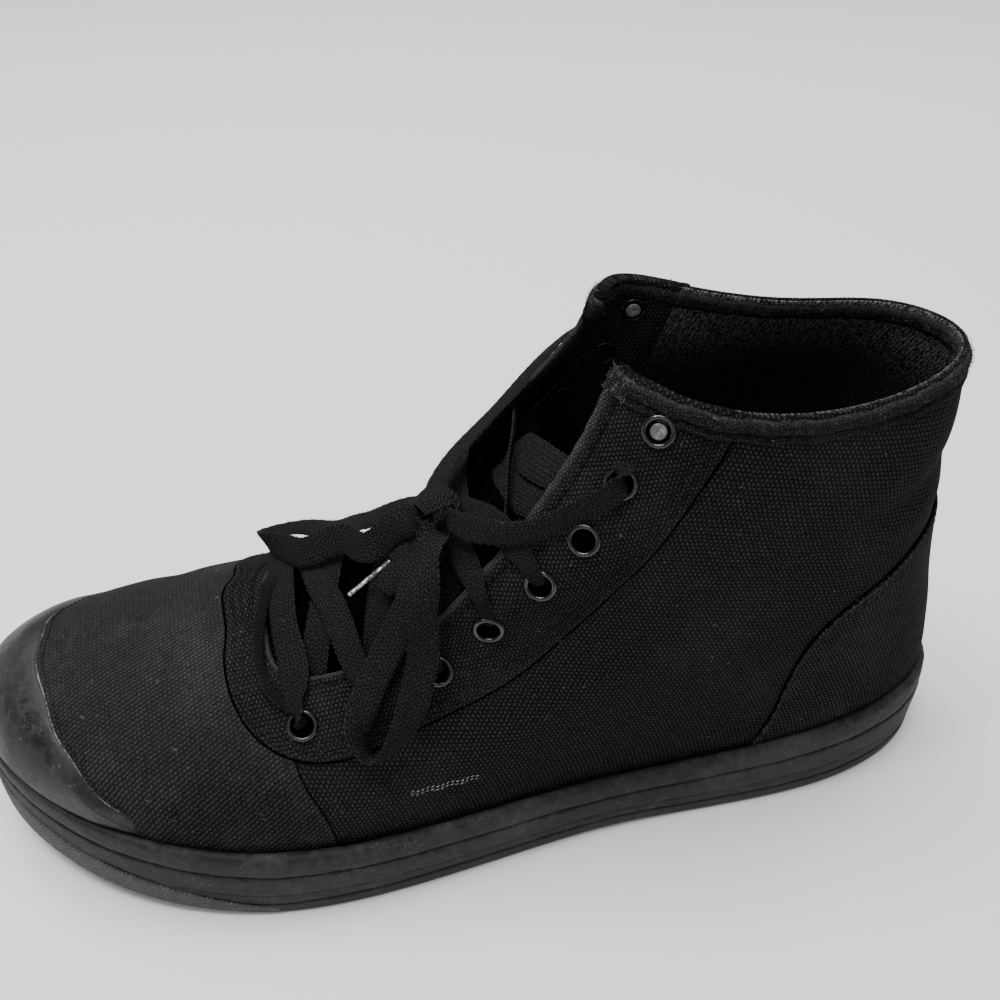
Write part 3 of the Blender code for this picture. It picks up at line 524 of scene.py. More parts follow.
@dataclass(frozen=True)
class Panel:
    """Cloth or rubber laid on the last between a near and a far line, as one closed solid.

    Each row of places holds the near place and the far place that belongs to it.  The two edge
    profiles run from the underside to the face as (distance from the line, proud), and the face
    between them stands proud by a steady height.
    """

    rows: tuple[tuple[float, float, float, float], ...]
    near_edge: tuple[tuple[float, float], ...]
    far_edge: tuple[tuple[float, float], ...]
    face: float
    under: float
    count: int = 160
    across: int = 24
    chart: Chart = Chart.QUARTER
    # width below which the panel sinks into what it lies on
    fade: float = 0

    def lines(self) -> tuple[Array, Array]:
        """Charts of the near and the far line, station by station."""
        both = places(self.rows, self.count)
        return both[:, 0], both[:, 1]

    def between(self, near: Array, far: Array, share: Array) -> Array:
        """Charts at shares of the way from the near to the far line."""
        return near[:, None] + (far - near)[:, None] * share[..., None]

    def width(self, near: Array, far: Array) -> Array:
        """Width of the panel at each station."""
        share = np.broadcast_to(np.linspace(0, 1, 13), (len(near), 13))
        chart = self.between(near, far, share)
        points = LAST.bare(chart[..., 0], chart[..., 1])
        return np.linalg.norm(np.diff(points, axis=1), axis=2).sum(axis=1)

    def section(self, width: Array) -> tuple[Array, Array]:
        """Share across and height of each point of the closed section, station by station."""
        first, last = self.near_edge[-1][0], self.far_edge[-1][0]
        points = [(distance / width, height) for distance, height in self.near_edge]
        points += [((first + part * (width - first - last)) / width, self.face)
                   for part in np.linspace(0, 1, self.across + 2)[1:-1]]
        points += [(1 - distance / width, height) for distance, height in reversed(self.far_edge)]
        points += [(np.full(len(width), part), self.under)
                   for part in np.linspace(1, 0, self.across // 2 + 2)[1:-1]]
        share, proud = zip(*points)
        return np.stack(share, axis=1), np.array(proud)

    def build(self, name: str, material: Material) -> Piece:
        """The panel's mesh."""
        near, far = self.lines()
        true = self.width(near, far)
        width = np.maximum(true, NARROWEST)
        share, proud = self.section(width)
        sunk = np.clip(true / self.fade, 0.1, 1) if self.fade else np.ones(len(true))
        chart = self.between(near, far, share)
        chart[..., 1] = held(chart[..., 1])
        rings = LAST.cloth(chart[..., 0], chart[..., 1], proud[None, :] * sunk[:, None])
        if self.chart is Chart.FLAT:
            uv = self.laid_flat(near, far, share)
        else:
            uv = cloth_coordinates(self.chart, chart[..., 0], chart[..., 1], rings)
        piece = add_sweep(name, rings, uv, material)
        # below the face the cloth lies in a crevice and gets painted shade; above it, on a raised edge, it
        # is rubbed paler
        shade_and_wear = np.clip((proud - self.face) / 0.3, -1, 1) * (proud > self.under)
        mark_shade_and_wear(piece, np.broadcast_to(shade_and_wear, share.shape))
        return piece

    def laid_flat(self, near: Array, far: Array, share: Array) -> Array:
        """Cloth coordinates of the panel as if it were laid out flat.

        Each triangle of a coarse net keeps its angles as well as it can: the sum of its
        corners' flat places, as complex numbers, each times the edge across from it, is near
        0.  The net is then scaled to its true area, and turned and moved to agree with the
        quarter's cloth at the first third of its stations.

        Args:
            near: Chart of the near line.
            far: Chart of the far line.
            share: Share across of each point of the section, station by station.

        Returns:
            Two coordinates for each point of the section.
        """
        rows, columns = 61, 7
        pick = np.linspace(0, len(near) - 1, rows).round().astype(int)
        across = np.linspace(0, 1, columns)
        chart = self.between(near[pick], far[pick], np.broadcast_to(across, (rows, columns)))
        points = LAST.bare(chart[..., 0], chart[..., 1]).reshape(-1, 3)
        quads = grid_faces(rows, columns)
        corners = np.concatenate([quads[:, [0, 1, 2]], quads[:, [0, 2, 3]]])
        a, b, c = (points[corners[:, i]] for i in range(3))
        first = unit(b - a)
        normal = unit(np.cross(b - a, c - a))
        second = np.cross(first, normal)
        flat = [np.zeros(len(a), complex)]
        flat += [np.sum((p - a) * first, axis=1) + 1j * np.sum((p - a) * second, axis=1) for p in (b, c)]
        area = np.sqrt(np.abs(np.imag(np.conj(flat[1]) * flat[2])))
        ask = np.zeros((len(corners), len(points)), complex)
        for i in range(3):
            ask[np.arange(len(corners)), corners[:, i]] = (flat[i - 1] - flat[i - 2]) / area
        pins, free = [0, len(points) - columns], np.ones(len(points), bool)
        free[pins] = False
        target = cloth_coordinates(Chart.QUARTER, chart[..., 0], chart[..., 1], points).reshape(-1, 2)
        target = target[:, 0] + 1j * target[:, 1]
        laid = np.zeros(len(points), complex)
        laid[pins] = target[pins]
        laid[free] = np.linalg.lstsq(ask[:, free], -ask[:, pins] @ laid[pins], rcond=None)[0]
        part = slice(0, columns * rows // 3)
        here, there = laid[part] - laid[part].mean(), target[part] - target[part].mean()
        turned = unit(np.array([np.sum(np.conj(here) * there)]))[0]
        flat_area = np.abs(np.imag(np.conj(laid[corners[:, 1]] - laid[corners[:, 0]])
                                   * (laid[corners[:, 2]] - laid[corners[:, 0]])))
        turned *= math.sqrt(float(np.sum(area ** 2)) / float(np.sum(flat_area)))
        laid = ((laid - laid[part].mean()) * turned + target[part].mean()).reshape(rows, columns)
        along = np.interp(np.arange(len(near)), pick, np.arange(rows))[:, None]
        found = cell_values(laid, along, np.clip(share * (columns - 1), 0, columns - 1))
        return np.stack([found.real, found.imag], axis=-1)

    def seam(self, distance: float, proud: float, far: bool = True, span: tuple[float, float] = (0, 1),
             count: int = 400) -> tuple[Array, Array]:
        """Points and outward directions along a line at a distance from one of the edges."""
        near, beyond = self.lines()
        width = np.maximum(self.width(near, beyond), NARROWEST)
        share = 1 - distance / width if far else distance / width
        chart = self.between(near, beyond, share[:, None])[:, 0]
        chart[:, 1] = held(chart[:, 1])
        chart = rows_at(np.linspace(*span, count) * (self.count - 1), np.arange(self.count), chart)
        return LAST.cloth(chart[:, 0], chart[:, 1], proud), LAST.normal(chart[:, 0], chart[:, 1])


# ---- shader trees

class Tree:
    """Short ways to add nodes to a shader tree and to feed their sockets."""

    def __init__(self, tree: bpy.types.NodeTree) -> None:
        self.tree = tree

    def add(self, kind: str, feeds: dict | None = None, **settings: object) -> bpy.types.Node:
        """New node with the given settings.

        Args:
            kind: The node's type, without its ShaderNode prefix.
            feeds: What goes into its sockets: numbers, tuples or other sockets.
            settings: Values of the node's own properties.

        Returns:
            The node.
        """
        node = self.tree.nodes.new("ShaderNode" + kind)
        for key, value in settings.items():
            setattr(node, key, value)
        for key, value in (feeds or {}).items():
            self.feed(node.inputs[key], value)
        return node

    def feed(self, socket: Socket, value: object) -> None:
        """Join a socket to another one, or set its value; a colour may leave its alpha out."""
        if isinstance(value, Socket):
            self.tree.links.new(value, socket)
        elif socket.type == "RGBA" and isinstance(value, tuple):
            socket.default_value = (*value[:3], 1)
        else:
            socket.default_value = value

    def math(self, operation: str, a: object, b: object = 0) -> Socket:
        """Result of one step of arithmetic."""
        return self.add("Math", {0: a, 1: b}, operation=operation).outputs[0]

    def times(self, a: object, b: object) -> Socket:
        """Product of two numbers."""
        return self.math("MULTIPLY", a, b)

    def plus(self, a: object, b: object) -> Socket:
        """Sum of two numbers."""
        return self.math("ADD", a, b)

    def over(self, a: object, b: object) -> Socket:
        """One number divided by another."""
        return self.math("DIVIDE", a, b)

    def wave(self, value: object) -> Socket:
        """Sine of pi times a number."""
        return self.math("SINE", self.times(value, pi))

    def ridges(self, value: object, power: float = 1) -> Socket:
        """Size of that sine, whatever its sign, raised to a power."""
        size = self.math("ABSOLUTE", self.wave(value))
        return size if power == 1 else self.math("POWER", size, power)

    def span(self, value: object, low: object, high: object, bottom: object = 0,
             top: object = 1) -> Socket:
        """Value led smoothly from bottom to top while it goes from low to high."""
        return self.add("MapRange", {"Value": value, "From Min": low, "From Max": high,
                                     "To Min": bottom, "To Max": top},
                        interpolation_type="SMOOTHSTEP").outputs["Result"]

    def mix(self, share: object, a: object, b: object) -> Socket:
        """Blend of two colours."""
        return self.add("Mix", {0: share, 6: a, 7: b}, data_type="RGBA").outputs[2]

    def noise(self, place: object, scale: object, detail: float = 3, output: str = "Fac") -> Socket:
        """Value of a noise pattern, about 0.5 in the middle, or its colour."""
        return self.add("TexNoise", {"Vector": place, "Scale": scale, "Detail": detail}).outputs[output]

    def vector(self, operation: str, a: object, b: object) -> Socket:
        """Result of one step of arithmetic on vectors; to SCALE, the second one is a number."""
        second = "Scale" if operation == "SCALE" else 1
        return self.add("VectorMath", {0: a, second: b}, operation=operation).outputs[0]

    def moved(self, place: object, by: Socket, size: object) -> Socket:
        """Place moved by a vector times a size."""
        return self.vector("ADD", place, self.vector("SCALE", by, size))

    def turned(self, place: object, angle: object) -> Socket:
        """Place turned about the third axis."""
        return self.add("VectorRotate", {"Vector": place, "Angle": angle}, rotation_type="Z_AXIS").outputs[0]

    def parts(self, vector: object) -> bpy.types.NodeOutputs:
        """The three parts of a vector."""
        return self.add("SeparateXYZ", {0: vector}).outputs

    def bump(self, height: object, distance: float, under: object = None) -> Socket:
        """Normal bent by a height from 0 to 1 that stands for a distance in millimetres."""
        feeds = {"Height": height, "Distance": distance * MM, "Strength": 1}
        if under is not None:
            feeds["Normal"] = under
        return self.add("Bump", feeds).outputs["Normal"]

    def use(self, group: bpy.types.NodeTree, feeds: dict) -> Socket:
        """The one output of a shared group placed in this tree."""
        node = self.tree.nodes.new("ShaderNodeGroup")
        node.node_tree = group
        for key, value in feeds.items():
            self.feed(node.inputs[key], value)
        return node.outputs[0]


def shared(name: str, inputs: dict[str, object], fill: Callable[[Tree, dict], Socket]) -> bpy.types.NodeTree:
    """A node group with one output, built the first time that it is asked for.

    Args:
        name: The group's name.
        inputs: Default of each input; None makes it a vector.
        fill: Function that gets the Tree and the input sockets by name, and returns the result.

    Returns:
        The group's tree.
    """
    if name in bpy.data.node_groups:
        return bpy.data.node_groups[name]
    group = bpy.data.node_groups.new(name, "ShaderNodeTree")
    for key, default in inputs.items():
        kind = "NodeSocketVector" if default is None else "NodeSocketFloat"
        socket = group.interface.new_socket(key, in_out="INPUT", socket_type=kind)
        if default is not None:
            socket.default_value = default
    group.interface.new_socket("Value", in_out="OUTPUT", socket_type="NodeSocketFloat")
    entry, leave = group.nodes.new("NodeGroupInput"), group.nodes.new("NodeGroupOutput")
    group.links.new(fill(Tree(group), {key: entry.outputs[key] for key in inputs}), leave.inputs[0])
    return group


def weave_group() -> bpy.types.NodeTree:
    """Plain weave: threads that pass over and under each other, as nubs in a chessboard.

    With u and v the place in warp ends and weft rows, the nub stands where sin(pi u) sin(pi v)
    is above 0, and the weft between two nubs reaches a share of its height where the product
    is below 0.  A share of cos(pi (u - v)) joins the nubs into slanting lines.
    """
    def fill(tree: Tree, given: dict) -> Socket:
        place = given["Cloth"]
        for scale, size in ((0.35, given["Wobble"]), (1.25, tree.times(given["Wobble"], 0.7))):
            off = tree.vector("ADD", tree.noise(given["Cloth"], scale, 1, "Color"), (-0.5, -0.5, -0.5))
            place = tree.moved(place, off, size)
        parts = tree.parts(tree.turned(place, given["Turn"]))
        u, v = tree.over(parts[0], given["Pitch"]), tree.over(parts[1], given["Rows"])
        slant = tree.math("COSINE", tree.times(tree.math("SUBTRACT", u, v), pi))
        product = tree.plus(tree.times(tree.wave(u), tree.wave(v)), tree.times(slant, given["Slant"]))
        under = tree.times(tree.span(product, -0.1, -0.9), given["Weft"])
        return tree.plus(tree.span(product, 0, 0.75), under)

    return shared("weave", {"Cloth": None, "Pitch": 0.7, "Rows": 1.3, "Turn": 0, "Weft": 0.3, "Wobble": 0.5,
                            "Slant": 0}, fill)


def lint_group() -> bpy.types.NodeTree:
    """Specks and short fibres caught on cloth: the middles of sparse stretched cells."""
    def fill(tree: Tree, given: dict) -> Socket:
        total = 0
        for angle, stretch, size in ((0.5, 5, 0.55), (2.2, 4, 0.7), (1.2, 1.3, 0.9)):
            thin = tree.vector("MULTIPLY", tree.turned(given["Place"], angle), (size / stretch, size, size))
            cell = tree.add("TexVoronoi", {"Vector": thin, "Scale": 0.42}, feature="F1").outputs
            rare = tree.math("GREATER_THAN", tree.add("SeparateColor", {0: cell["Color"]}).outputs[0],
                             tree.math("SUBTRACT", 1, given["Amount"]))
            speck = tree.times(rare, tree.span(cell["Distance"], 0.045, 0.1, 1, 0))
            total = tree.math("MAXIMUM", total, speck)
        return total

    return shared("lint", {"Place": None, "Amount": 0.3}, fill)


def dust_group() -> bpy.types.NodeTree:
    """Cloudy dust: broad patches broken up by fine grain."""
    def fill(tree: Tree, given: dict) -> Socket:
        broad = tree.noise(given["Place"], tree.over(1, given["Size"]), 4)
        fine = tree.noise(given["Place"], tree.over(9, given["Size"]), 3)
        total = tree.plus(broad, tree.times(tree.math("SUBTRACT", fine, 0.5), given["Grain"]))
        return tree.span(total, given["Low"], given["High"])

    return shared("dust", {"Place": None, "Size": 30, "Grain": 0.5, "Low": 0.42, "High": 0.68}, fill)


def grey(value: float, warmth: float = 0) -> tuple[float, float, float]:
    """Grey of a linear brightness, warmer where warmth is above 0."""
    return value * (1 + warmth), value, value * (1 - 1.3 * warmth)


class Skin(Tree):
    """Shader tree of one material: coats are laid over its colour one after another."""

    def __init__(self, name: str) -> None:
        self.material = bpy.data.materials.new(name)
        self.material.use_nodes = True
        super().__init__(self.material.node_tree)
        self.colour: object = None
        # place in the boot's frame, and on the piece's cloth, in millimetres
        self.place = self.vector("SCALE", self.add("TexCoord").outputs["Object"], 1 / MM)
        self.cloth = self.add("UVMap", uv_map="cloth").outputs["UV"]

    def coat(self, share: object, tone: tuple[float, float, float]) -> None:
        """Cover a share of the colour with a tone."""
        self.colour = self.mix(share, self.colour, tone)

    def dust(self, size: float, **settings: float) -> Socket:
        """Mask of cloudy dust, with clouds of a size in millimetres."""
        return self.use(dust_group(), {"Place": self.place, "Size": size, **settings})

    def lint(self, amount: float, share: float, tone: tuple[float, float, float]) -> None:
        """Sprinkle lint over the colour."""
        self.coat(self.times(self.use(lint_group(), {"Place": self.place, "Amount": amount}), share), tone)

    def finish(self, normal: Socket, roughness: object, gloss: float) -> Material:
        """Material with the colour that has been built up.

        Args:
            normal: The surface's bent normal.
            roughness: Roughness, a number or a socket.
            gloss: Strength of the mirror light.

        Returns:
            The material.
        """
        inputs = self.tree.nodes["Principled BSDF"].inputs
        self.feed(inputs["Base Color"], self.colour)
        self.feed(inputs["Roughness"], roughness)
        inputs["Specular IOR Level"].default_value = gloss
        self.feed(inputs["Normal"], normal)
        return self.material


# ---- finishes

@dataclass(frozen=True)
class Cloth:
    """Woven cotton: canvas, tape or binding."""

    name: str
    # colours of the thread tops and of the gaps between threads: partly the weave itself, partly painted
    # sheen on the tops and painted shade in the gaps
    thread: float
    gap: float
    # spacing of the warp ends and of the weft rows
    pitch: float = 0.68
    rows: float = 1.3
    turn: float = 0
    weft: float = 0.6
    slant: float = 0
    wobble: float = 0.6
    relief: float = 0.22
    dust: float = 0.4
    lint: float = 0.3
    pale: float = 0.05
    warmth: float = 0.03
    # share by which faces that look up are made paler
    paler_facing_up: float = 0

    def material(self) -> Material:
        """Cloth whose colour and relief follow its threads, with painted sheen and shade in the weave,
        painted shade in crevices, dust and lint.
        """
        skin = Skin(self.name)
        place, cloth = skin.place, skin.cloth
        weave = skin.use(weave_group(), {"Cloth": cloth, "Pitch": self.pitch, "Rows": self.rows,
                                         "Weft": self.weft, "Turn": math.radians(self.turn),
                                         "Wobble": self.wobble, "Slant": self.slant})
        slub = skin.noise(skin.vector("MULTIPLY", cloth, (0.25, 2.2, 1)), 0.9, 2)
        tone = skin.times(weave, skin.span(slub, 0.3, 0.7, 0.55, 1.3))
        # the weave's tone sets painted sheen on the thread tops and painted shade in the gaps, over the
        # weave's own pattern
        skin.colour = skin.mix(tone, grey(self.gap, self.warmth), grey(self.thread, self.warmth))
        seam = skin.add("Attribute", attribute_name="seam").outputs["Fac"]
        # painted shade: cloth in the crevices along the panels' edges darkened
        skin.coat(skin.times(skin.span(seam, 0, -1), 0.85), grey(self.gap * 0.5))
        patchy = skin.span(skin.noise(place, 0.9, 3), 0.35, 0.65, 0.2, 0.9)
        skin.coat(skin.times(skin.span(seam, 0, 1), patchy), grey(self.pale, 0.03))
        raised = skin.times(skin.dust(26), skin.span(weave, 0.2, 0.9, 0.25, 1))
        skin.coat(skin.times(raised, self.dust), grey(self.pale, 0.05))
        # faces that look up are made paler
        facing = skin.parts(skin.add("NewGeometry").outputs["Normal"])[2]
        skin.coat(skin.span(facing, 0.45, 0.85, 0, self.paler_facing_up), grey(self.pale, 0.05))
        skin.lint(self.lint, 0.6, grey(0.12, 0.04))
        threads = skin.bump(weave, self.relief, skin.bump(skin.noise(place, 0.16, 2), 0.9))
        return skin.finish(skin.bump(skin.noise(place, 3, 2), 0.12, threads), 0.93, 0.05)


@dataclass(frozen=True)
class Knit:
    """Ribbed knit or mesh cloth."""

    name: str
    loop: float
    gap: float
    rib: float = 2.2
    stitch: float = 1.3
    slant: float = 0
    wobble: float = 2.6
    relief: float = 0.35
    # heights between which the knit's painted shade, deeper inside the boot, fades out upwards
    shaded_below: tuple[float, float] = (-2, -1)

    def material(self) -> Material:
        """Knit whose ribs are rows of slanted loops."""
        skin = Skin(self.name)
        place, cloth = skin.place, skin.cloth
        wobbled = skin.moved(cloth, skin.noise(cloth, 0.55, 2, "Color"), self.wobble)
        turned = skin.turned(wobbled, math.radians(self.slant))
        parts = skin.parts(turned)
        across = skin.over(parts[0], self.rib)
        chevron = skin.times(skin.math("PINGPONG", across, 0.5), 1.6)
        along = skin.plus(skin.over(parts[1], self.stitch), chevron)
        height = skin.times(skin.ridges(across, 0.6), skin.span(skin.ridges(along, 0.7), 0, 1, 0.35, 1))
        nap = skin.noise(skin.vector("MULTIPLY", turned, (2, 0.8, 1)), 1, 3)
        tone = skin.times(height, skin.span(nap, 0.36, 0.66, 0.05, 1.9))
        skin.colour = skin.mix(tone, grey(self.gap, -0.04), grey(self.loop, -0.06))
        # painted shade: the knit darkened towards the bottom, deeper inside the boot
        skin.coat(skin.span(skin.parts(place)[2], *self.shaded_below, 0.88, 0), grey(self.gap))
        skin.lint(0.25, 0.4, grey(0.06, 0.04))
        relief = skin.bump(height, self.relief, skin.bump(skin.noise(place, 0.2, 2), 1))
        return skin.finish(relief, 0.95, 0.01)


@dataclass(frozen=True)
class Rubber:
    """Moulded or wrapped rubber, dusty and scuffed, with a knurl if asked for."""

    name: str
    dark: float
    pale: float
    scuff: float = 0.2
    roughness: float = 0.6
    gloss: float = 0.35
    knurl: float = 0
    dust_size: float = 24

    def material(self) -> Material:
        """Rubber whose dust gathers in clouds, with fine scratches."""
        skin = Skin(self.name)
        place = skin.place
        cloud = skin.dust(self.dust_size, Grain=0.7, Low=0.36, High=0.74)
        skin.colour = skin.mix(cloud, grey(self.dark, 0.02), grey(self.pale, 0.03))
        spots = skin.dust(7, Grain=0.9, Low=0.58, High=0.78)
        skin.coat(skin.times(spots, self.scuff), grey(self.pale * 2.2, 0.03))
        skin.lint(0.22, 0.4, grey(0.14, 0.04))
        grain = skin.bump(skin.noise(place, 1.1, 3), 0.1, skin.bump(skin.noise(place, 0.12, 2), 0.45))
        if self.knurl:
            weave = skin.use(weave_group(), {"Cloth": skin.cloth, "Pitch": self.knurl, "Rows": self.knurl,
                                             "Weft": 0.75, "Turn": math.radians(45), "Wobble": 0.12})
            grain = skin.bump(weave, 0.45, grain)
            # painted shade: the knurl's valleys darkened
            skin.coat(skin.span(weave, 0, 0.55, 0.6, 0), grey(self.dark * 0.5))
        roughness = skin.span(cloud, 0, 1, self.roughness, self.roughness + 0.18)
        return skin.finish(grain, roughness, self.gloss)


@dataclass(frozen=True)
class Lace:
    """Flat cotton lace: soft braided columns of V-shaped stitches, furred by wear."""

    name: str
    # colours of the stitch tops and of the gaps between them; the dark of the gaps is painted shade
    thread: float
    gap: float
    pitch: float = 1.3
    column: float = 2.1

    def material(self) -> Material:
        """Lace whose stitches slant both ways within each column."""
        skin = Skin(self.name)
        place, cloth = skin.place, skin.cloth
        parts = skin.parts(skin.moved(cloth, skin.noise(place, 0.8, 2, "Color"), 1.1))
        fold = skin.math("PINGPONG", parts[1], self.column / 2)
        stitch = skin.ridges(skin.over(skin.plus(parts[0], skin.times(fold, 1.1)), self.pitch))
        leg = skin.ridges(skin.times(parts[1], 2 / self.column))
        height = skin.times(stitch, skin.span(leg, 0, 0.7, 0.3, 1))
        fur = skin.noise(skin.vector("MULTIPLY", cloth, (1, 2.2, 1)), 2.6, 3)
        tone = skin.times(skin.plus(skin.times(height, 0.7), 0.12), skin.span(fur, 0.32, 0.68, 0.15, 1.7))
        # the gaps between stitches are painted dark as shade
        skin.colour = skin.mix(tone, grey(self.gap, 0.05), grey(self.thread, 0.06))
        skin.lint(0.3, 0.4, grey(0.07, 0.05))
        furred = skin.bump(fur, 0.35, skin.bump(skin.noise(place, 0.45, 2), 0.5))
        return skin.finish(skin.bump(height, 0.3, furred), 0.95, 0.04)


@dataclass(frozen=True)
class Metal:
    """Painted or bare metal, worn through to bright steel on its rubbed edges."""

    name: str
    coat: float
    wear: float

    def material(self) -> Material:
        """Metal whose paint breaks up by noise."""
        skin = Skin(self.name)
        worn = skin.span(skin.noise(skin.place, 0.9, 4), 0.72 - 0.5 * self.wear, 0.8 - 0.5 * self.wear)
        skin.colour = skin.mix(worn, grey(self.coat), grey(0.52, 0.02))
        metallic = skin.tree.nodes["Principled BSDF"].inputs["Metallic"]
        skin.feed(metallic, skin.span(worn, 0, 1, 0, 1))
        grain = skin.bump(skin.noise(skin.place, 2, 3), 0.05)
        return skin.finish(grain, skin.span(worn, 0, 1, 0.14, 0.34), 0.6)


CANVAS = Cloth("canvas", 0.04, 0.0035, turn=10, weft=0.2, relief=0.3, dust=0.3, lint=0.22)
VAMP_CANVAS = Cloth("vamp_canvas", 0.034, 0.0025, pitch=0.7, rows=1.06, turn=-62, weft=0.3, slant=0.5,
                    dust=0.45, pale=0.06, paler_facing_up=0.1)
COUNTER_CANVAS = Cloth("counter_canvas", 0.05, 0.001, pitch=0.65, rows=1.4, turn=6, weft=0.2, relief=0.3)
EYESTAY_CANVAS = Cloth("eyestay_canvas", 0.038, 0.003, pitch=0.6, rows=1.2, turn=-8, weft=0.2, relief=0.35,
                       dust=0.35)
BINDING = Cloth("binding", 0.03, 0.004, pitch=0.62, rows=0.7, turn=38, weft=0.45, wobble=1.2, relief=0.14,
                lint=0.4)
ROLLED = Cloth("rolled_tape", 0.075, 0.012, pitch=0.55, rows=0.9, turn=25, weft=0.4, relief=0.12)
THREAD = Cloth("thread", 0.022, 0.008, pitch=0.35, rows=0.35, turn=30, relief=0.05, dust=0.6, lint=0.1)
# near-black stand-in for shade: painted shadow along the overlays' edges and in the eyelets' hollows
PAINTED_SHADE = Rubber("crease", 0.0008, 0.0012, 0, roughness=0.95, gloss=0)
FIBRE = Rubber("fibre", 0.022, 0.055, roughness=0.95, gloss=0.05, dust_size=5)
RIM_FIBRE = Rubber("rim_fibre", 0.02, 0.075, roughness=0.95, gloss=0.05, dust_size=6)
PALE_FIBRE = Rubber("pale_fibre", 0.09, 0.22, roughness=0.95, gloss=0.05, dust_size=3)
SNAG = Rubber("snag", 0.2, 0.35, roughness=0.95, gloss=0.05, dust_size=3)
LINING = Knit("lining", 0.125, 0.004, rib=1.15, stitch=0.95, slant=-30, wobble=1.5, shaded_below=(121, 149))
TONGUE_KNIT = Knit("tongue_knit", 0.0022, 0.0003, rib=1.5, stitch=1.1, slant=12)
INSOLE_CLOTH = Rubber("insole_cloth", 0.012, 0.02, 0.1, roughness=0.9, gloss=0.1)
SOLE_RUBBER = Rubber("sole_rubber", 0.014, 0.038, 0.35, gloss=0.15)
OUTSOLE_RUBBER = Rubber("outsole_rubber", 0.014, 0.036, 0.3, roughness=0.7)
KNURLED_RUBBER = Rubber("knurled_rubber", 0.06, 0.11, 0.4, knurl=1, roughness=0.7)
GLUE = Rubber("glue", 0.03, 0.2, 0.4, roughness=0.8, gloss=0.1, dust_size=6)
CAP_RUBBER = Rubber("cap_rubber", 0.006, 0.022, 0.5, roughness=0.42, gloss=0.28, dust_size=18)
COTTON_LACE = Lace("cotton_lace", 0.034, 0.0003)
EYELET_METAL = Metal("eyelet_metal", 0.004, 0.08)
WORN_STEEL = Metal("worn_steel", 0.04, 0.5)
WASHER_STEEL = Rubber("washer_steel", 0.07, 0.2, 0.3, roughness=0.35, gloss=0.6, dust_size=2)


@cache
def dressed(finish: Cloth | Knit | Rubber | Lace | Metal) -> Material:
    """The one material of a finish, made when it is first asked for."""
    return finish.material()


# ---- sewing

def path_frames(points: Array, normals: Array, hold: float = 0.35) -> tuple[Array, Array]:
    """Directions across and up at each point of a path, carried smoothly along it.

    The up direction is carried from point to point and drawn towards the given normals, less
    so where the path runs along them, as through an eyelet.

    Args:
        points: Path, one row each.
        normals: Wanted up directions.
        hold: Share by which each step is drawn towards the wanted direction.

    Returns:
        Two arrays of unit vectors.
    """
    along = unit(np.gradient(points, axis=0))
    flat = normals - along * np.sum(normals * along, axis=1, keepdims=True)
    up = np.empty_like(points)
    up[0] = flat[0] / max(np.linalg.norm(flat[0]), 1e-9)
    for i in range(1, len(points)):
        carried = up[i - 1] - along[i] * (up[i - 1] @ along[i])
        carried /= max(np.linalg.norm(carried), 1e-9)
        mixed = carried * (1 - hold) + flat[i] * hold
        up[i] = mixed / max(np.linalg.norm(mixed), 1e-9)
    across = unit(np.cross(along, up))
    return across, np.cross(across, along)


@dataclass(frozen=True)
class Stitches:
    """A row of stitches: short rounded threads, one after another along a seam."""

    pitch: float = 3
    length: float = 2.3
    radius: float = 0.32
    slant: float = 6
    # place along a stitch as a share of its length, then size and sink as shares of its radius
    shape: tuple[tuple[float, float, float], ...] = (
        (-0.5, 0.35, -0.9), (-0.42, 0.8, -0.35), (-0.2, 1, 0), (0.2, 1, 0), (0.42, 0.8, -0.35),
        (0.5, 0.35, -0.9))

    def row(self, points: Array, normals: Array) -> tuple[Array, list]:
        """Points and faces of the stitches along one seam.

        Args:
            points: Seam, one row each.
            normals: Outward directions along it.

        Returns:
            The points of all stitches and their faces.
        """
        reach = reach_along(points)
        middles = np.arange(self.pitch / 2, reach[-1], self.pitch)
        centre = rows_at(middles, reach, points)[:, None]
        up = unit(rows_at(middles, reach, normals))
        along = unit(rows_at(middles + 0.6, reach, points) - rows_at(middles - 0.6, reach, points))
        across = unit(np.cross(up, along))
        tilt = math.radians(self.slant)
        along, across = (along * math.cos(tilt) + across * math.sin(tilt),
                         across * math.cos(tilt) - along * math.sin(tilt))
        sides = 6
        turn = whole_round(sides)
        way, size, sink = (np.array(column)[:, None] for column in zip(*self.shape))
        local = np.stack(np.broadcast_arrays(way * self.length, size * self.radius * np.cos(turn) * 1.2,
                                             (size * np.sin(turn) + sink) * self.radius), axis=-1)
        local = local.reshape(1, -1, 3)
        cloud = (centre + local[..., :1] * along[:, None] + local[..., 1:2] * across[:, None]
                 + local[..., 2:] * up[:, None])
        rows = len(self.shape)
        one = grid_faces(rows, sides, False, True).tolist()
        one += [list(range(sides))[::-1], [(rows - 1) * sides + i for i in range(sides)]]
        faces = [[v + i * rows * sides for v in face] for i in range(len(centre)) for face in one]
        return cloud.reshape(-1, 3), faces

    def build(self, name: str, seams: list, material: Material) -> Piece:
        """One piece that holds the stitches of several seams."""
        clouds, faces, start = [], [], 0
        for points, normals in seams:
            cloud, some = self.row(points, normals)
            faces += [[v + start for v in face] for face in some]
            clouds.append(cloud)
            start += len(cloud)
        cloud = np.concatenate(clouds)
        return add_mesh(name, cloud, faces, cloud[:, 1:], material)


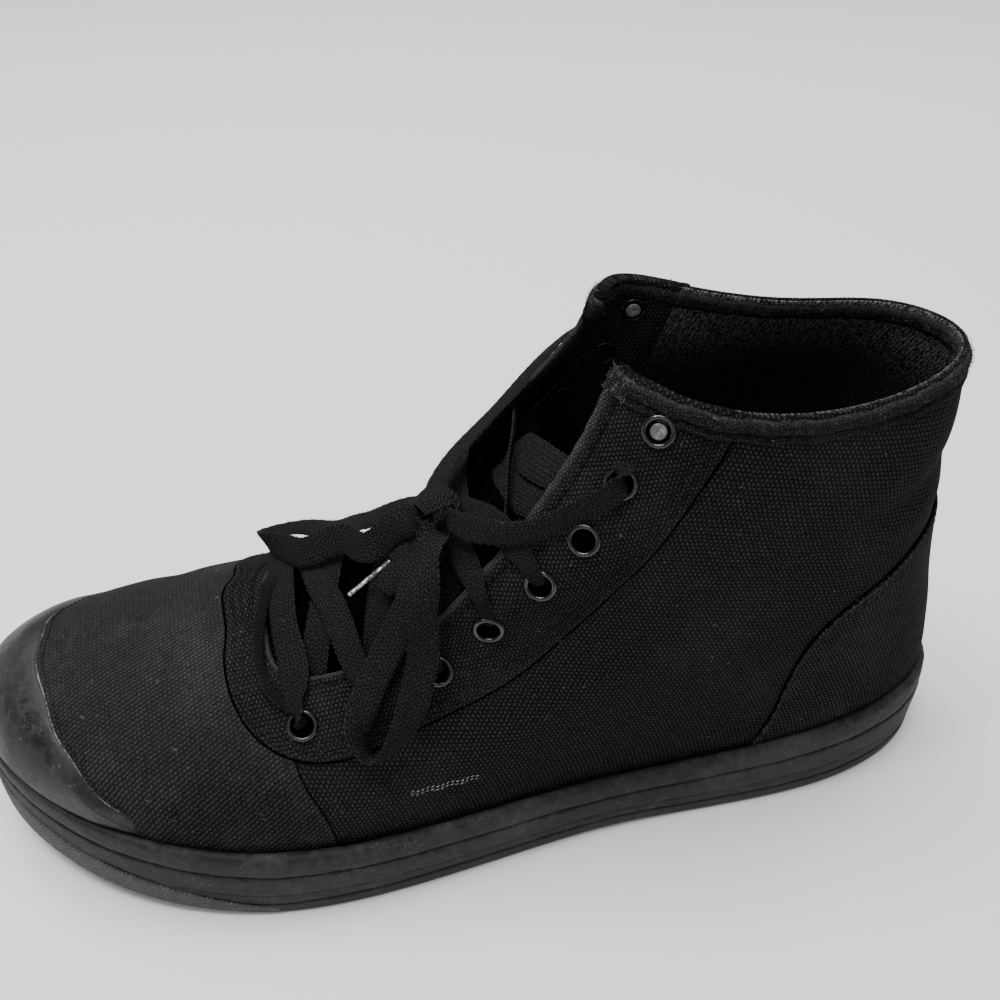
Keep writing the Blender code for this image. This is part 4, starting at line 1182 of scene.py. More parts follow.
@dataclass(frozen=True)
class Fuzz:
    """Stray fibres: thin curved blades that stand out of worn cotton."""

    length: float = 1.1
    width: float = 0.085
    lean: float = 0.9
    seed: int = 5

    def build(self, name: str, roots: Array, normals: Array, material: Material) -> Piece:
        """Fibres at the given roots, each bent by its own random draw.

        Args:
            name: The piece's name.
            roots: Where the fibres start, one row each.
            normals: Directions that they mostly stand in.
            material: Their finish.

        Returns:
            One piece with every fibre.
        """
        draw = np.random.default_rng(self.seed)
        count = len(roots)
        length = self.length * draw.uniform(0.4, 1.3, (count, 1))
        first = unit(normals + self.lean * draw.normal(size=(count, 3)))
        bend = unit(first + 0.9 * draw.normal(size=(count, 3)))
        middle = roots + first * length * 0.5
        tip = middle + bend * length * 0.5
        side = unit(np.cross(first, draw.normal(size=(count, 3)))) * self.width / 2
        cloud = np.stack([roots - side, roots + side, middle + side * 0.8, middle - side * 0.8, tip], axis=1)
        start = (np.arange(count) * 5)[:, None]
        faces = (start + np.array([0, 1, 2, 3])).tolist() + (start + np.array([3, 2, 4])).tolist()
        return add_mesh(name, cloud, faces, cloud[..., :2], material)


def piping(name: str, points: Array, normals: Array, radius: float, material: Material, sides: int = 14,
           swell: tuple = ((0, 1), (1, 1))) -> Piece:
    """Rolled edge: a soft round cord of cloth along a line, thinned out at its ends.

    Args:
        name: The piece's name.
        points: The line, one row each.
        normals: Directions that look up from it.
        radius: Radius of the cord.
        material: Its finish.
        sides: Points round the cord.
        swell: Shares of the length, each with a share of the radius.

    Returns:
        The cord's object.
    """
    across, up = path_frames(points, normals)
    reach = reach_along(points)
    taper = np.clip(np.minimum(reach, reach[-1] - reach) / 2.5, 0.02, 1) ** 0.5
    swelling = np.interp(reach / reach[-1], *np.transpose(swell))
    size = (radius * ((1 + 0.07 * np.sin(reach * 0.9)) * taper * swelling))[:, None]
    rings = round_rings(points, across * size, up * size, sides)
    return add_sweep(name, rings, net(reach, whole_round(sides) * radius), material)


# ---- the upper

EYESTAY_ROWS = (
    (16.5, 1, 66, 1), (16.3, 0.94, 63.5, 0.92), (18.5, 0.847, 62.5, 0.85), (22.5, 0.745, 63.5, 0.76),
    (27.9, 0.675, 65, 0.677), (38.7, 0.595, 71.5, 0.567), (48.3, 0.51, 78, 0.453),
    (50, 0.465, 81, 0.367), (50.5, 0.438, 77.5, 0.277), (50, 0.42, 71, 0.23),
    (48, 0.411, 63.5, 0.243), (44.4, 0.416, 55.5, 0.293), (40.1, 0.428, 50, 0.33),
    (34, 0.446, 41, 0.378), (25.6, 0.469, 28, 0.425), (7.9, 0.498, 9, 0.461),
    (-13, 0.494, -14, 0.453), (-26.1, 0.471, -29, 0.426), (-35.6, 0.445, -41, 0.384),
    (-41.4, 0.429, -50, 0.33), (-44.7, 0.424, -57, 0.283), (-46.1, 0.43, -65, 0.236),
    (-47, 0.44, -71.5, 0.232), (-47.6, 0.465, -78, 0.277), (-47.3, 0.515, -80, 0.38),
    (-36.3, 0.604, -77, 0.51), (-28.1, 0.675, -74, 0.61), (-25, 0.735, -72, 0.69),
    (-22.8, 0.836, -71, 0.81), (-22.1, 0.92, -71, 0.91), (-21.8, 1, -70, 1),
)
VAMP_ROWS = (
    (38, 0, 72, 0), (38, 0.07, 70.5, 0.107), (34, 0.11, 67, 0.19), (29, 0.15, 61, 0.28),
    (24, 0.18, 52, 0.345), (17, 0.215, 38, 0.415), (8, 0.235, 20, 0.465), (-3, 0.245, 0, 0.487),
    (-15, 0.22, -22, 0.455), (-23, 0.195, -39, 0.395), (-31, 0.16, -53, 0.325),
    (-37, 0.11, -63, 0.245), (-41, 0.07, -70, 0.16), (-42, 0, -74, 0),
)
COUNTER_ROWS = (
    (125, 0, 124, 0.055), (127, 0, 126, 0.13), (130, 0, 126.5, 0.21), (134, 0, 126.5, 0.31),
    (139, 0, 127.2, 0.435), (145, 0, 131, 0.503), (152, 0, 137, 0.55),
    (160, 0, 147, 0.613), (170, 0, 164, 0.648), (180, 0, 180, 0.657),
    (190, 0, 196, 0.648), (200, 0, 213, 0.613), (208, 0, 223, 0.55),
    (215, 0, 229, 0.503), (221, 0, 232.8, 0.435), (226, 0, 233.5, 0.31),
    (230, 0, 233.5, 0.21), (233, 0, 234, 0.13), (235, 0, 236, 0.055),
)
CAP_REAR = (
    (49, 0), (48, 0.045), (47, 0.09), (41, 0.143), (35.5, 0.19), (30, 0.217), (22, 0.253),
    (14.5, 0.27), (6.5, 0.28), (-2.5, 0.287), (-10, 0.279), (-16.5, 0.263), (-26.5, 0.237),
    (-35, 0.195), (-41, 0.15), (-46, 0.09), (-47, 0.045), (-48, 0),
)


def inside_outline(points: Array, outline: Array) -> Array:
    """Which points of the plane lie inside a closed outline, by counting crossed edges."""
    inside = np.zeros(len(points), bool)
    for a, b in zip(outline, np.roll(outline, -1, axis=0)):
        crosses = (a[1] > points[:, 1]) != (b[1] > points[:, 1])
        reach = a[0] + (points[:, 1] - a[1]) / (b[1] - a[1] + 1e-12) * (b[0] - a[0])
        inside ^= crosses & (points[:, 0] < reach)
    return inside


@dataclass
class Upper:
    """The canvas upper: base wall and lining, vamp, eyestay, heel counter, bindings and seams."""

    wall_turns: int = 360
    wall_levels: int = 120
    rim_fibres: int = 14000
    corner_fibres: int = 240
    eyestay: Panel = Panel(
        EYESTAY_ROWS,
        near_edge=((1, -2.3), (0, -1.6), (-0.3, -0.6), (0, 0.5), (0.7, 1.05), (2.2, 1.15), (3.2, 1.1),
                   (3.8, 0.85), (4.4, 0.85), (5.2, 1.1)),
        far_edge=((0.6, -0.6), (0, -0.2), (-0.1, 0.45), (0.15, 0.9), (0.7, 1.15), (1.8, 1.15), (2.4, 0.95),
                  (2.9, 0.95), (3.6, 1.15), (4.4, 1.12), (4.9, 0.95), (5.4, 0.95), (6.2, 1.12)),
        face=1.1, under=-2.2, count=560, across=18, chart=Chart.FLAT)
    vamp: Panel = Panel(
        VAMP_ROWS, near_edge=((0, -0.3), (0.2, 0.4)),
        far_edge=((0.6, -0.4), (0, -0.1), (0, 0.3), (0.3, 0.5), (1, 0.56), (1.7, 0.5), (2.3, 0.5),
                  (3, 0.56), (3.7, 0.56), (4.3, 0.5), (4.9, 0.5), (5.8, 0.55)),
        face=0.55, under=-0.4, count=300, across=70, chart=Chart.VAMP)
    counter: Panel = Panel(
        COUNTER_ROWS, near_edge=((0, -0.3), (0.2, 0.5)),
        far_edge=((0.8, -0.4), (0, -0.1), (-0.1, 0.5), (0.2, 1.05), (0.9, 1.3), (1.8, 1.2), (2.4, 0.92),
                  (3, 0.92), (3.8, 1.15), (4.8, 1.12), (5.3, 0.9), (5.9, 0.9), (6.8, 1.05)),
        face=1, under=-0.4, count=420, across=60)

    def build(self) -> None:
        """Make every piece of the upper."""
        settle(self.sheet("quarter", CANVAS, 0, 0.7, 0.3), "canvas", "upper")
        settle(self.sheet("lining", LINING, -1.7, 0.5, 0.12, outward=False), "lining")
        for name, panel, finish in (("vamp", self.vamp, VAMP_CANVAS),
                                    ("eyestay", self.eyestay, EYESTAY_CANVAS),
                                    ("heel_counter", self.counter, COUNTER_CANVAS)):
            settle(panel.build(name, dressed(finish)), "canvas")
        self.build_piping()
        self.build_crease_shadows()
        self.build_collar()
        self.build_stitching()
        self.build_scuff()

    def throat_mask(self, turn: Array, level: Array, share: float) -> Array:
        """Which places lie inside the throat, grown by a share of the eyestay's width."""
        near, far = self.eyestay.lines()
        outline = near + (far - near) * share
        top = np.array([[outline[-1, 0], 1.2], [outline[0, 0], 1.2]])
        wrapped = np.mod(turn + pi, 2 * pi) - pi
        flat = np.stack([wrapped.ravel(), level.ravel()], axis=1)
        return inside_outline(flat, np.concatenate([outline, top])).reshape(turn.shape)

    def sheet(self, name: str, finish: Cloth | Knit, proud: float, thick: float, share: float,
              outward: bool = True) -> Piece:
        """Sheet of cloth all round the last, left open at the throat.

        Args:
            name: The piece's name.
            finish: Its cloth.
            proud: How far it stands out of the last.
            thick: Its thickness, which is added on the back of its faces.
            share: Share of the eyestay's width by which the throat is grown.
            outward: Whether its faces look out of the boot.

        Returns:
            The sheet.
        """
        turn = np.linspace(-pi, pi, self.wall_turns + 1)[:-1]
        level = np.linspace(0, 1, self.wall_levels)
        turn, level = np.meshgrid(turn, level)
        points = LAST.cloth(turn, level, proud)
        faces = grid_faces(self.wall_levels, self.wall_turns, False, True)
        hole = self.throat_mask(turn, level, share).ravel()
        faces = faces[~hole[faces].all(axis=1)]
        if not outward:
            faces = faces[:, ::-1]
        uv = cloth_coordinates(Chart.QUARTER, turn, level, points)
        piece = add_mesh(name, points, faces, uv, dressed(finish))
        solid = piece.modifiers.new("Thickness", "SOLIDIFY")
        solid.thickness = thick * MM
        solid.offset = -1
        return piece

    def build_piping(self) -> None:
        """Rolled binding along the throat."""
        points, normals = self.eyestay.seam(0.5, 0.45, far=False, span=(0.004, 0.996), count=700)
        swell = ((0, 1), (0.16, 0.95), (0.3, 0.5), (0.7, 0.5), (1, 0.65))
        settle(piping("throat_piping", points, normals, 1.6, dressed(ROLLED), swell=swell), "canvas")

    def build_crease_shadows(self) -> None:
        """Painted shadow: thin near-black cords where the overlays end on the cloth below them, standing in
        for the shade of those crevices.
        """
        dark = dressed(PAINTED_SHADE)
        for name, panel, proud, radius in (("eyestay", self.eyestay, 0.42, 0.44),
                                           ("vamp", self.vamp, 0.05, 0.13),
                                           ("counter", self.counter, 0.2, 0.34)):
            points, normals = panel.seam(-0.25, proud, span=(0.012, 0.988), count=700)
            settle(piping(f"{name}_crease", points, normals, radius, dark, sides=8), "canvas")

    def build_scuff(self) -> None:
        """Snagged pale threads low on the outer side."""
        turn = np.radians(np.linspace(80, 88, 60))
        dash = Stitches(pitch=1.5, length=1, radius=0.12, slant=28)
        rows = []
        for rise in (0, 0.007):
            level = 0.123 + rise + 0.002 * np.sin(turn * 150)
            rows.append((LAST.cloth(turn, level, 0.12), LAST.normal(turn, level)))
        settle(dash.build("snagged_threads", rows, dressed(SNAG)), "canvas")

    def build_collar(self) -> None:
        """Collar: the upper's top edge, folded in over a soft roll.

        Its section is given as (out, up) from the top of the last, and it stands further out
        where it passes over the eyestay.
        """
        near, far = self.eyestay.lines()
        turn = np.linspace(near[0, 0] - 0.02, 2 * pi + near[-1, 0] + 0.02, 520)
        level = np.ones_like(turn)
        top, out = LAST.cloth(turn, level), LAST.normal(turn, level)
        up = unit(LAST.bare(turn, level) - LAST.bare(turn, level - 0.03))
        over = held((far[0, 0] + 0.05 - turn) / 0.1) + held(
            (turn - (2 * pi + far[-1, 0]) + 0.05) / 0.1)
        section = np.array(((0.3, -5.6), (0.75, -5.4), (0.9, -4.9), (0.75, -4.3), (0.5, -3.8), (0.7, -3.3),
                            (1.05, -2.6), (1.3, -1.6), (1.2, -0.6), (0.6, 0.4), (-0.3, 0.9), (-1.3, 0.8),
                            (-2.2, 0.1), (-2.75, -0.9), (-2.8, -1.7), (-2.55, -2.3), (-2.2, -2.7),
                            (-2.5, -3.1), (-2.5, -3.7), (-2.1, -4.3), (-1.4, -5.2), (-0.5, -7))) - (0, 1.8)
        lift = np.where(section[:, 0] > -0.4, 1, 0)[None, :] * over[:, None]
        wave = 0.18 * np.sin(turn * 23) + 0.12 * np.sin(turn * 61)
        rings = (top[:, None] + out[:, None] * (section[None, :, :1] + lift[..., None])
                 + up[:, None] * (section[None, :, 1:] + wave[:, None, None]))
        uv = net(reach_along(top), reach_along(np.pad(section, ((0, 0), (0, 1)))))
        binding = add_sweep("collar_binding", rings, uv, dressed(BINDING))
        worn = held((section[:, 1] + 2.6) / 1.5) * 0.8
        # painted shade: a dark line along the groove of the roll
        worn = worn - (np.abs(section[:, 1] + 5.4) < 0.35)
        mark_shade_and_wear(binding, np.broadcast_to(worn, rings.shape[:2]))
        settle(binding, "canvas")
        draw = np.random.default_rng(3)
        count = self.rim_fibres
        pick, place = draw.integers(0, len(top), count), draw.integers(6, 17, count)
        roots = rings[pick, place] + draw.normal(size=(count, 3)) * (0.3, 0.3, 0.05)
        ways = up[pick] + out[pick] * draw.uniform(-1, 1, (count, 1))
        settle(Fuzz(1.2, 0.11).build("collar_fuzz", roots, ways, dressed(RIM_FIBRE)), "canvas")
        count = self.corner_fibres
        pick, place = draw.integers(0, 18, count), draw.integers(2, 13, count)
        roots = rings[pick, place] + draw.normal(size=(count, 3)) * 0.3
        ways = up[pick] + out[pick] * 0.6
        settle(Fuzz(1.8, 0.1, seed=8).build("frayed_corner", roots, ways, dressed(PALE_FIBRE)), "canvas")
        for name, end in (("outer", 3), ("inner", -4)):
            line = top[end] + up[end] * np.linspace(-8.5, -1.2, 40)[:, None] - out[end] * 0.5
            ways = np.repeat(out[end][None], len(line), axis=0)
            settle(piping(f"corner_roll_{name}", line, ways, 2.6, dressed(BINDING)), "canvas")
        self.collar_line = top + out * (0.58 + over[:, None]) - up * 5.6, out

    def build_stitching(self) -> None:
        """Rows of sewing along every seam of the upper."""
        small = Stitches(pitch=2.6, length=1.8, radius=0.2)
        fine = Stitches(pitch=1.9, length=1.3, radius=0.13)
        stay, counter = self.eyestay, self.counter
        for name, stitches, seams in (
                ("eyestay", small, [stay.seam(2.65, 1.12, count=1400), stay.seam(5.15, 1.1, count=1400),
                                    stay.seam(4.1, 1.02, far=False, span=(0.02, 0.98), count=1400)]),
                ("counter", small, [counter.seam(away, proud, count=900, span=(0.03, 0.97))
                                    for away, proud in ((2.7, 1.08), (5.6, 1.05))]),
                ("vamp", fine, [self.vamp.seam(2, 0.58, count=700)]),
                ("collar", small, [self.collar_line])):
            settle(stitches.build(f"{name}_stitches", seams, dressed(THREAD)), "canvas")


# ---- the sole

@dataclass(frozen=True)
class SoleShape:
    """Sizes of the sole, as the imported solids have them."""

    spring: float = 10.5
    spring_start: float = 205
    arch_outer: float = 0.6
    arch_inner: float = 2.4
    arch_span: tuple[float, float] = (78, 146)
    rim_stations: tuple[float, ...] = (0, 40, 90, 130, 200, 250, 300)
    rim_heights: tuple[float, ...] = (29, 27, 23, 22.5, 25, 27.5, 27)
    foxing_bottom: float = 4.6
    flare_out: float = 1.5
    toe_recess: float = 1.2
    flare_span: tuple[float, float] = (0.45, 0.85)

    def flare(self, turn: Array, share: float = 0) -> Array:
        """How far the sole's side stands out beyond its profile, which falls back at the toe.

        Args:
            turn: Turns in radians.
            share: Height on the foxing, where the recess at the toe fades to the top.

        Returns:
            One distance for each turn.
        """
        first, last = self.flare_span
        toe = held((np.cos(turn) - first) / (last - first))
        return self.flare_out * (1 - toe) - self.toe_recess * toe * (1 - share ** 2)

    def curl(self, station: Array) -> Array:
        """Height of the sole's underside where it curls up towards the toe."""
        reach = held((station - self.spring_start) / (LAST.length - self.spring_start))
        return self.spring * reach ** 2

    def hollow(self, station: Array, turn: Array) -> Array:
        """Height of the hollow under the waist, deeper on the inner side."""
        first, last = self.arch_span
        reach = held((station - first) / (last - first))
        share = 0.5 - 0.5 * np.sin(turn)
        return (self.arch_outer + (self.arch_inner - self.arch_outer) * share) * np.sin(pi * reach) ** 2

    def ring(self, turn: Array, out: Array | float, height: Array | float,
             on_arch: Array | float = 0) -> Array:
        """The feather line pushed level outward, at a height above the curled floor line.

        Args:
            turn: Turns in radians.
            out: How far out, in millimetres.
            height: Height above the floor line.
            on_arch: Share of the hollow under the waist that is added.

        Returns:
            One point for each turn.
        """
        level = np.zeros_like(turn)
        normal = LAST.normal(turn, level)
        normal[:, 2] = 0
        ring = LAST.bare(turn, level) + unit(normal) * np.reshape(out, (-1, 1))
        station = LAST.length / 2 - ring[:, 1]
        ring[:, 2] = self.curl(station) + self.hollow(station, turn) * on_arch + height
        return ring

    def rim(self, turn: Array) -> Array:
        """Height of the foxing's top edge above the floor line."""
        station = LAST.length / 2 - self.ring(turn, 0, 0)[:, 1]
        return smooth_curve(self.rim_stations, self.rim_heights, station)[:, 0]

    def rim_level(self, turn: Array, lower: float = 0) -> Array:
        """Level of the last where the foxing's top edge meets it, less a height."""
        height = self.ring(turn, 0, self.rim(turn) - lower)[:, 2]
        levels = np.linspace(0, 0.35, 71)
        z = LAST.bare(turn[None, :], levels[:, None])[..., 2]
        return np.array([np.interp(height[i], z[:, i], levels) for i in range(len(turn))])


SOLE = SoleShape()


@dataclass
class Sole:
    """Foxing, bumper and outsole."""

    turns: int = 720
    # share of the foxing's height from its bottom, and how far out: three wrapped tapes
    tapes: tuple[tuple[float, float], ...] = (
        (0, 2.6), (0.003, 3.25), (0.02, 3.62), (0.06, 3.75), (0.16, 3.8), (0.205, 3.78), (0.221, 3.6),
        (0.231, 3.66), (0.25, 3.92), (0.3, 4), (0.45, 4), (0.55, 3.95), (0.585, 3.88), (0.602, 3.66),
        (0.61, 3.05), (0.622, 2.95), (0.632, 3.3), (0.645, 3.52), (0.68, 3.66), (0.78, 3.6), (0.88, 3.36),
        (0.94, 3.12), (0.972, 2.86), (0.992, 2.4), (1, 1.9), (0.985, 1.3), (0.95, 0.75), (0.85, 0.4),
    )
    joints: tuple[tuple[float, float, float], ...] = ((93.5, 0, 0.61), (71.5, 0.61, 1), (-84, 0, 0.61),
                                                      (-100, 0.61, 1))

    def build(self) -> None:
        """Make every piece of the sole."""
        self.build_foxing()
        self.build_bumper()
        self.build_outsole()
        self.build_tread()

    def build_foxing(self) -> None:
        """Foxing: three rubber tapes wrapped one over the other, each a step of the section."""
        turn = whole_round(self.turns)
        rim = SOLE.rim(turn)
        ragged = 0.22 * np.sin(turn * 37) * np.sin(turn * 11 + 1) + 0.12 * np.sin(turn * 151)
        toe = held(np.cos(turn) * 2.5 - 1.2)
        rows = []
        for share, out in self.tapes:
            moved = share + 0.045 * toe * np.sin(pi * min(share, 1)) ** 0.5
            moved = np.minimum(moved, np.maximum(share, 1))
            step = np.zeros(self.turns)
            for place, low, high in self.joints:
                if low <= share < high:
                    away = np.degrees(np.mod(turn - math.radians(place) + pi, 2 * pi) - pi)
                    step += 0.22 * np.exp(-np.clip(away, 0, None) / 5) * (away > 0)
            wave = 0.06 * np.sin(turn * 29 + share * 9) + 0.05 * np.sin(turn * 67 + share * 23)
            height = SOLE.foxing_bottom + moved * (rim - SOLE.foxing_bottom)
            height = height + (ragged if share > 0.95 else 0)
            side = out + step + wave + SOLE.flare(turn, min(share, 1)) * min(1, out / 3)
            rows.append(SOLE.ring(turn, side, height, 1 - min(share, 1)))
        for out, height in ((0.4, 13), (0.4, SOLE.foxing_bottom)):
            rows.append(SOLE.ring(turn, out, height, 1 if height < 6 else 0))
        rings = np.stack(rows, axis=1)
        along = reach_along(SOLE.ring(turn, 3.8 + SOLE.flare(turn), 0))
        settle(add_sweep("foxing_tapes", rings, net(along, np.arange(len(rows))), dressed(SOLE_RUBBER),
                         True), "sole_rubber", "foxing")

    def build_bumper(self) -> None:
        """Knurled bumper strip low round the toe, thinning out at both ends."""
        turn = np.radians(np.linspace(-62, 64, 320))
        share = np.abs(np.linspace(-1, 1, len(turn)))
        height = 1.6 + 9.1 * (1 - share ** 4)
        section = ((0, 0), (0.7, 0.02), (0.95, 0.08), (1.06, 0.3), (1.1, 0.5), (1.06, 0.7), (1, 0.86),
                   (0.8, 0.95), (0.5, 0.99), (0, 1), (-0.3, 0.7), (-0.3, 0.3))
        rows = []
        for out, part in section:
            fade = 1 - 0.85 * share ** 6
            rows.append(SOLE.ring(turn, 3.8 + SOLE.flare(turn) + out * fade, 1.2 + height * part))
        rings = np.stack(rows, axis=1)
        uv = net(reach_along(rings[:, 4]), np.array([part for _, part in section]) * height[:, None])
        settle(add_sweep("bumper_strip", rings, uv, dressed(KNURLED_RUBBER)), "sole_rubber", "toe_bumper")

    def build_outsole(self) -> None:
        """Outsole's edge and deck: a closed body whose edge rounds under to the tread."""
        turn = whole_round(self.turns)
        section = ((-4, 0.7), (2.6, 0.2), (3.35, 0.3), (3.65, 0.6), (3.8, 1.2), (3.86, 2.2), (3.85, 3.4),
                   (3.7, 3.95), (3.1, 4.2), (0.2, 4.25), (-0.4, 4.6), (-0.4, 11.8), (-6, 12))
        rows = [SOLE.ring(turn, out + SOLE.flare(turn) * (out > 1), height, 1 if height < 5 else 0)
                for out, height in section]
        rings = np.stack(rows, axis=1)
        points = rings.transpose(1, 0, 2)
        faces = grid_faces(len(section), self.turns, False, True).tolist()
        half = self.turns // 2
        for start, upward in ((0, False), ((len(section) - 1) * self.turns, True)):
            for c in range(half):
                face = [start + c, start + c + 1, start + self.turns - c - 1,
                        start + (self.turns - c) % self.turns]
                face = [v for i, v in enumerate(face) if v != face[i - 1]]
                faces.append(face if upward else face[::-1])
        settle(add_mesh("outsole_edge", points, faces, points.reshape(-1, 3)[:, :2],
                        dressed(OUTSOLE_RUBBER)), "sole_rubber", "outsole")

    def build_tread(self) -> None:
        """Tread under the sole: wavy ribs across it, with a smooth rim and waist."""
        turn = np.linspace(0.004, pi - 0.004, 620)
        outer = SOLE.ring(turn, 2.7 + SOLE.flare(turn), 0)
        inner = SOLE.ring(-turn, 2.7 + SOLE.flare(turn), 0)
        station = LAST.length / 2 - outer[:, 1]
        share = np.linspace(0, 1, 64)
        points = inner[:, None] + (outer - inner)[:, None] * share[None, :, None]
        side = np.abs(points[..., 0] - 0.5 * (inner[:, None, 0] + outer[:, None, 0]))
        rim = 0.5 * np.abs(outer[:, 0] - inner[:, 0])[:, None] - side
        swing = station[:, None] + 1.6 * np.sin(points[..., 0] * 0.42)
        groove = held(1.5 * np.cos(swing * 2 * pi / 9) - 0.45)
        inside = held((rim - 5) / 1.2)
        ribbed = np.maximum(np.minimum(station - 14, 72 - station), np.minimum(station - 148, 280 - station))
        zone = inside * held(ribbed[:, None] / 1.5)
        waist = (1 - zone) * (0.4 - 0.4 * np.cos(2 * pi * swing / 3)) * inside
        arch = SOLE.hollow(station[:, None], np.where(share[None, :] > 0.5, 1, -1) * turn[:, None])
        edge = held(1 - rim / 1.6) ** 2
        height = SOLE.curl(station)[:, None] + arch + groove * zone * 1.7 + waist * 0.35 + edge + 0.02
        points[..., 2] = height.clip(min=0)
        faces = grid_faces(len(turn), len(share))[:, [0, 3, 2, 1]]
        settle(add_mesh("tread", points, faces, points[..., :2], dressed(OUTSOLE_RUBBER)), "sole_rubber")


@dataclass
class ToeCap:
    """Rubber toe cap with a thin feathered strip at its rear edge and a sewn line behind it."""

    count: int = 300

    def build(self) -> None:
        """Make the cap and its stitches."""
        rear = places(CAP_REAR, 200)[:, 0]
        turn = rear[:, 0]
        level = SOLE.rim_level(turn)
        rows = tuple((math.degrees(t), float(lv), math.degrees(far[0]), float(max(far[1], lv + 0.004)))
                     for t, lv, far in zip(turn[::8], level[::8], rear[::8]))
        cap = Panel(rows,
                    near_edge=((-2.5, 0.2), (-1.2, 0.5), (-0.2, 1.1), (0.6, 1.7), (1.5, 2), (2.8, 2.12)),
                    far_edge=((0.4, 0.2), (0, 0.3), (0, 0.6), (0.25, 0.9), (0.9, 1.2), (1.8, 1.55), (3, 1.9),
                              (4.6, 2.1)),
                    face=2.12, under=0.1, count=self.count, across=48, fade=11)
        settle(cap.build("cap", dressed(CAP_RUBBER)), "cap_rubber", "toe_cap")
        seam = cap.seam(-1.6, 0.78, span=(0.06, 0.94), count=700)
        settle(Stitches(pitch=1.7, length=1.5, radius=0.17).build("cap_stitches", [seam],
                                                                  dressed(THREAD)), "canvas")
        line = cap.seam(-0.15, 0.62, span=(0.06, 0.94), count=700)
        settle(piping("cap_glue_line", *line, 0.24, dressed(GLUE), sides=8), "canvas")


# ---- the tongue

@dataclass
class Tongue:
    """Padded knit tongue, slumped towards the outer side, its inner edge curled up."""

    sink: float = 4.1
    thick: float = 2.4
    # level, turn of the inner and outer edge in degrees, extra sink
    rows: tuple[tuple[float, float, float, float], ...] = (
        (0.42, -46, 52, 0), (0.48, -50, 60, 0), (0.56, -48, 62, 0), (0.64, -38, 58, 0),
        (0.72, -30, 52, 0), (0.78, -24, 50, 0), (0.83, -20, 48, 0.8))

    def build(self) -> None:
        """Make the tongue: a closed pad with a rolled edge and soft folds."""
        rows = np.array(self.rows)
        level = np.linspace(rows[0, 0], rows[-1, 0], 150)
        edges = smooth_curve(rows[:, 0], rows[:, 1:], level)
        across = np.linspace(0, 1, 64)
        turn = np.radians(edges[:, :1] + (edges[:, 1:2] - edges[:, :1]) * across)
        height = (level - level[0]) / (level[-1] - level[0])
        fold = 0.9 * np.sin(across * 9 + height[:, None] * 5) * height[:, None] ** 1.5
        curl = 2.2 * np.exp(-(across / 0.1) ** 2) * height[:, None] ** 2
        deep = self.sink + edges[:, 2:3] - fold * 0.5 - curl
        levels = np.repeat(level[:, None], len(across), axis=1)
        body = np.sqrt(held(1 - (2 * np.abs(across - 0.5)) ** 10))
        ends = np.sqrt(held(1 - (2 * np.abs(height - 0.5)) ** 30))
        half = 0.5 * self.thick * body[None, :] * ends[:, None]
        top = LAST.cloth(turn, levels, -(deep + self.thick / 2 - half))
        bottom = LAST.cloth(turn, levels, -(deep + self.thick / 2 + half))
        rings = np.concatenate([top, bottom[:, -2:0:-1]], axis=1)
        face = net(np.linspace(0, 95, len(level)), np.linspace(0, 62, len(across)))[..., ::-1]
        uv = np.concatenate([face, face[:, -2:0:-1]], axis=1)
        settle(add_sweep("tongue_pad", rings, uv, dressed(TONGUE_KNIT)), "tongue_knit", "tongue")


# ---- eyelets and lace

EYELET_ROWS = ((0.305, 61.5, -61), (0.375, 63.5, -63.5), (0.45, 64.5, -63), (0.6, 51, -54),
               (0.717, 41, -49), (0.795, 39.5, -49), (0.873, 38, -51), (0.949, 41.5, -53))


def eyelet_place(row: int, side: int) -> Array:
    """Side place and station of an eyelet, on the outer (+1) or inner (-1) side."""
    level, outer, inner = EYELET_ROWS[row]
    turn = math.radians(outer if side > 0 else inner)
    point = LAST.bare(np.array([turn]), np.array([level]))[0]
    return np.array([point[0] - LAST.side_shift, LAST.length / 2 - point[1]])


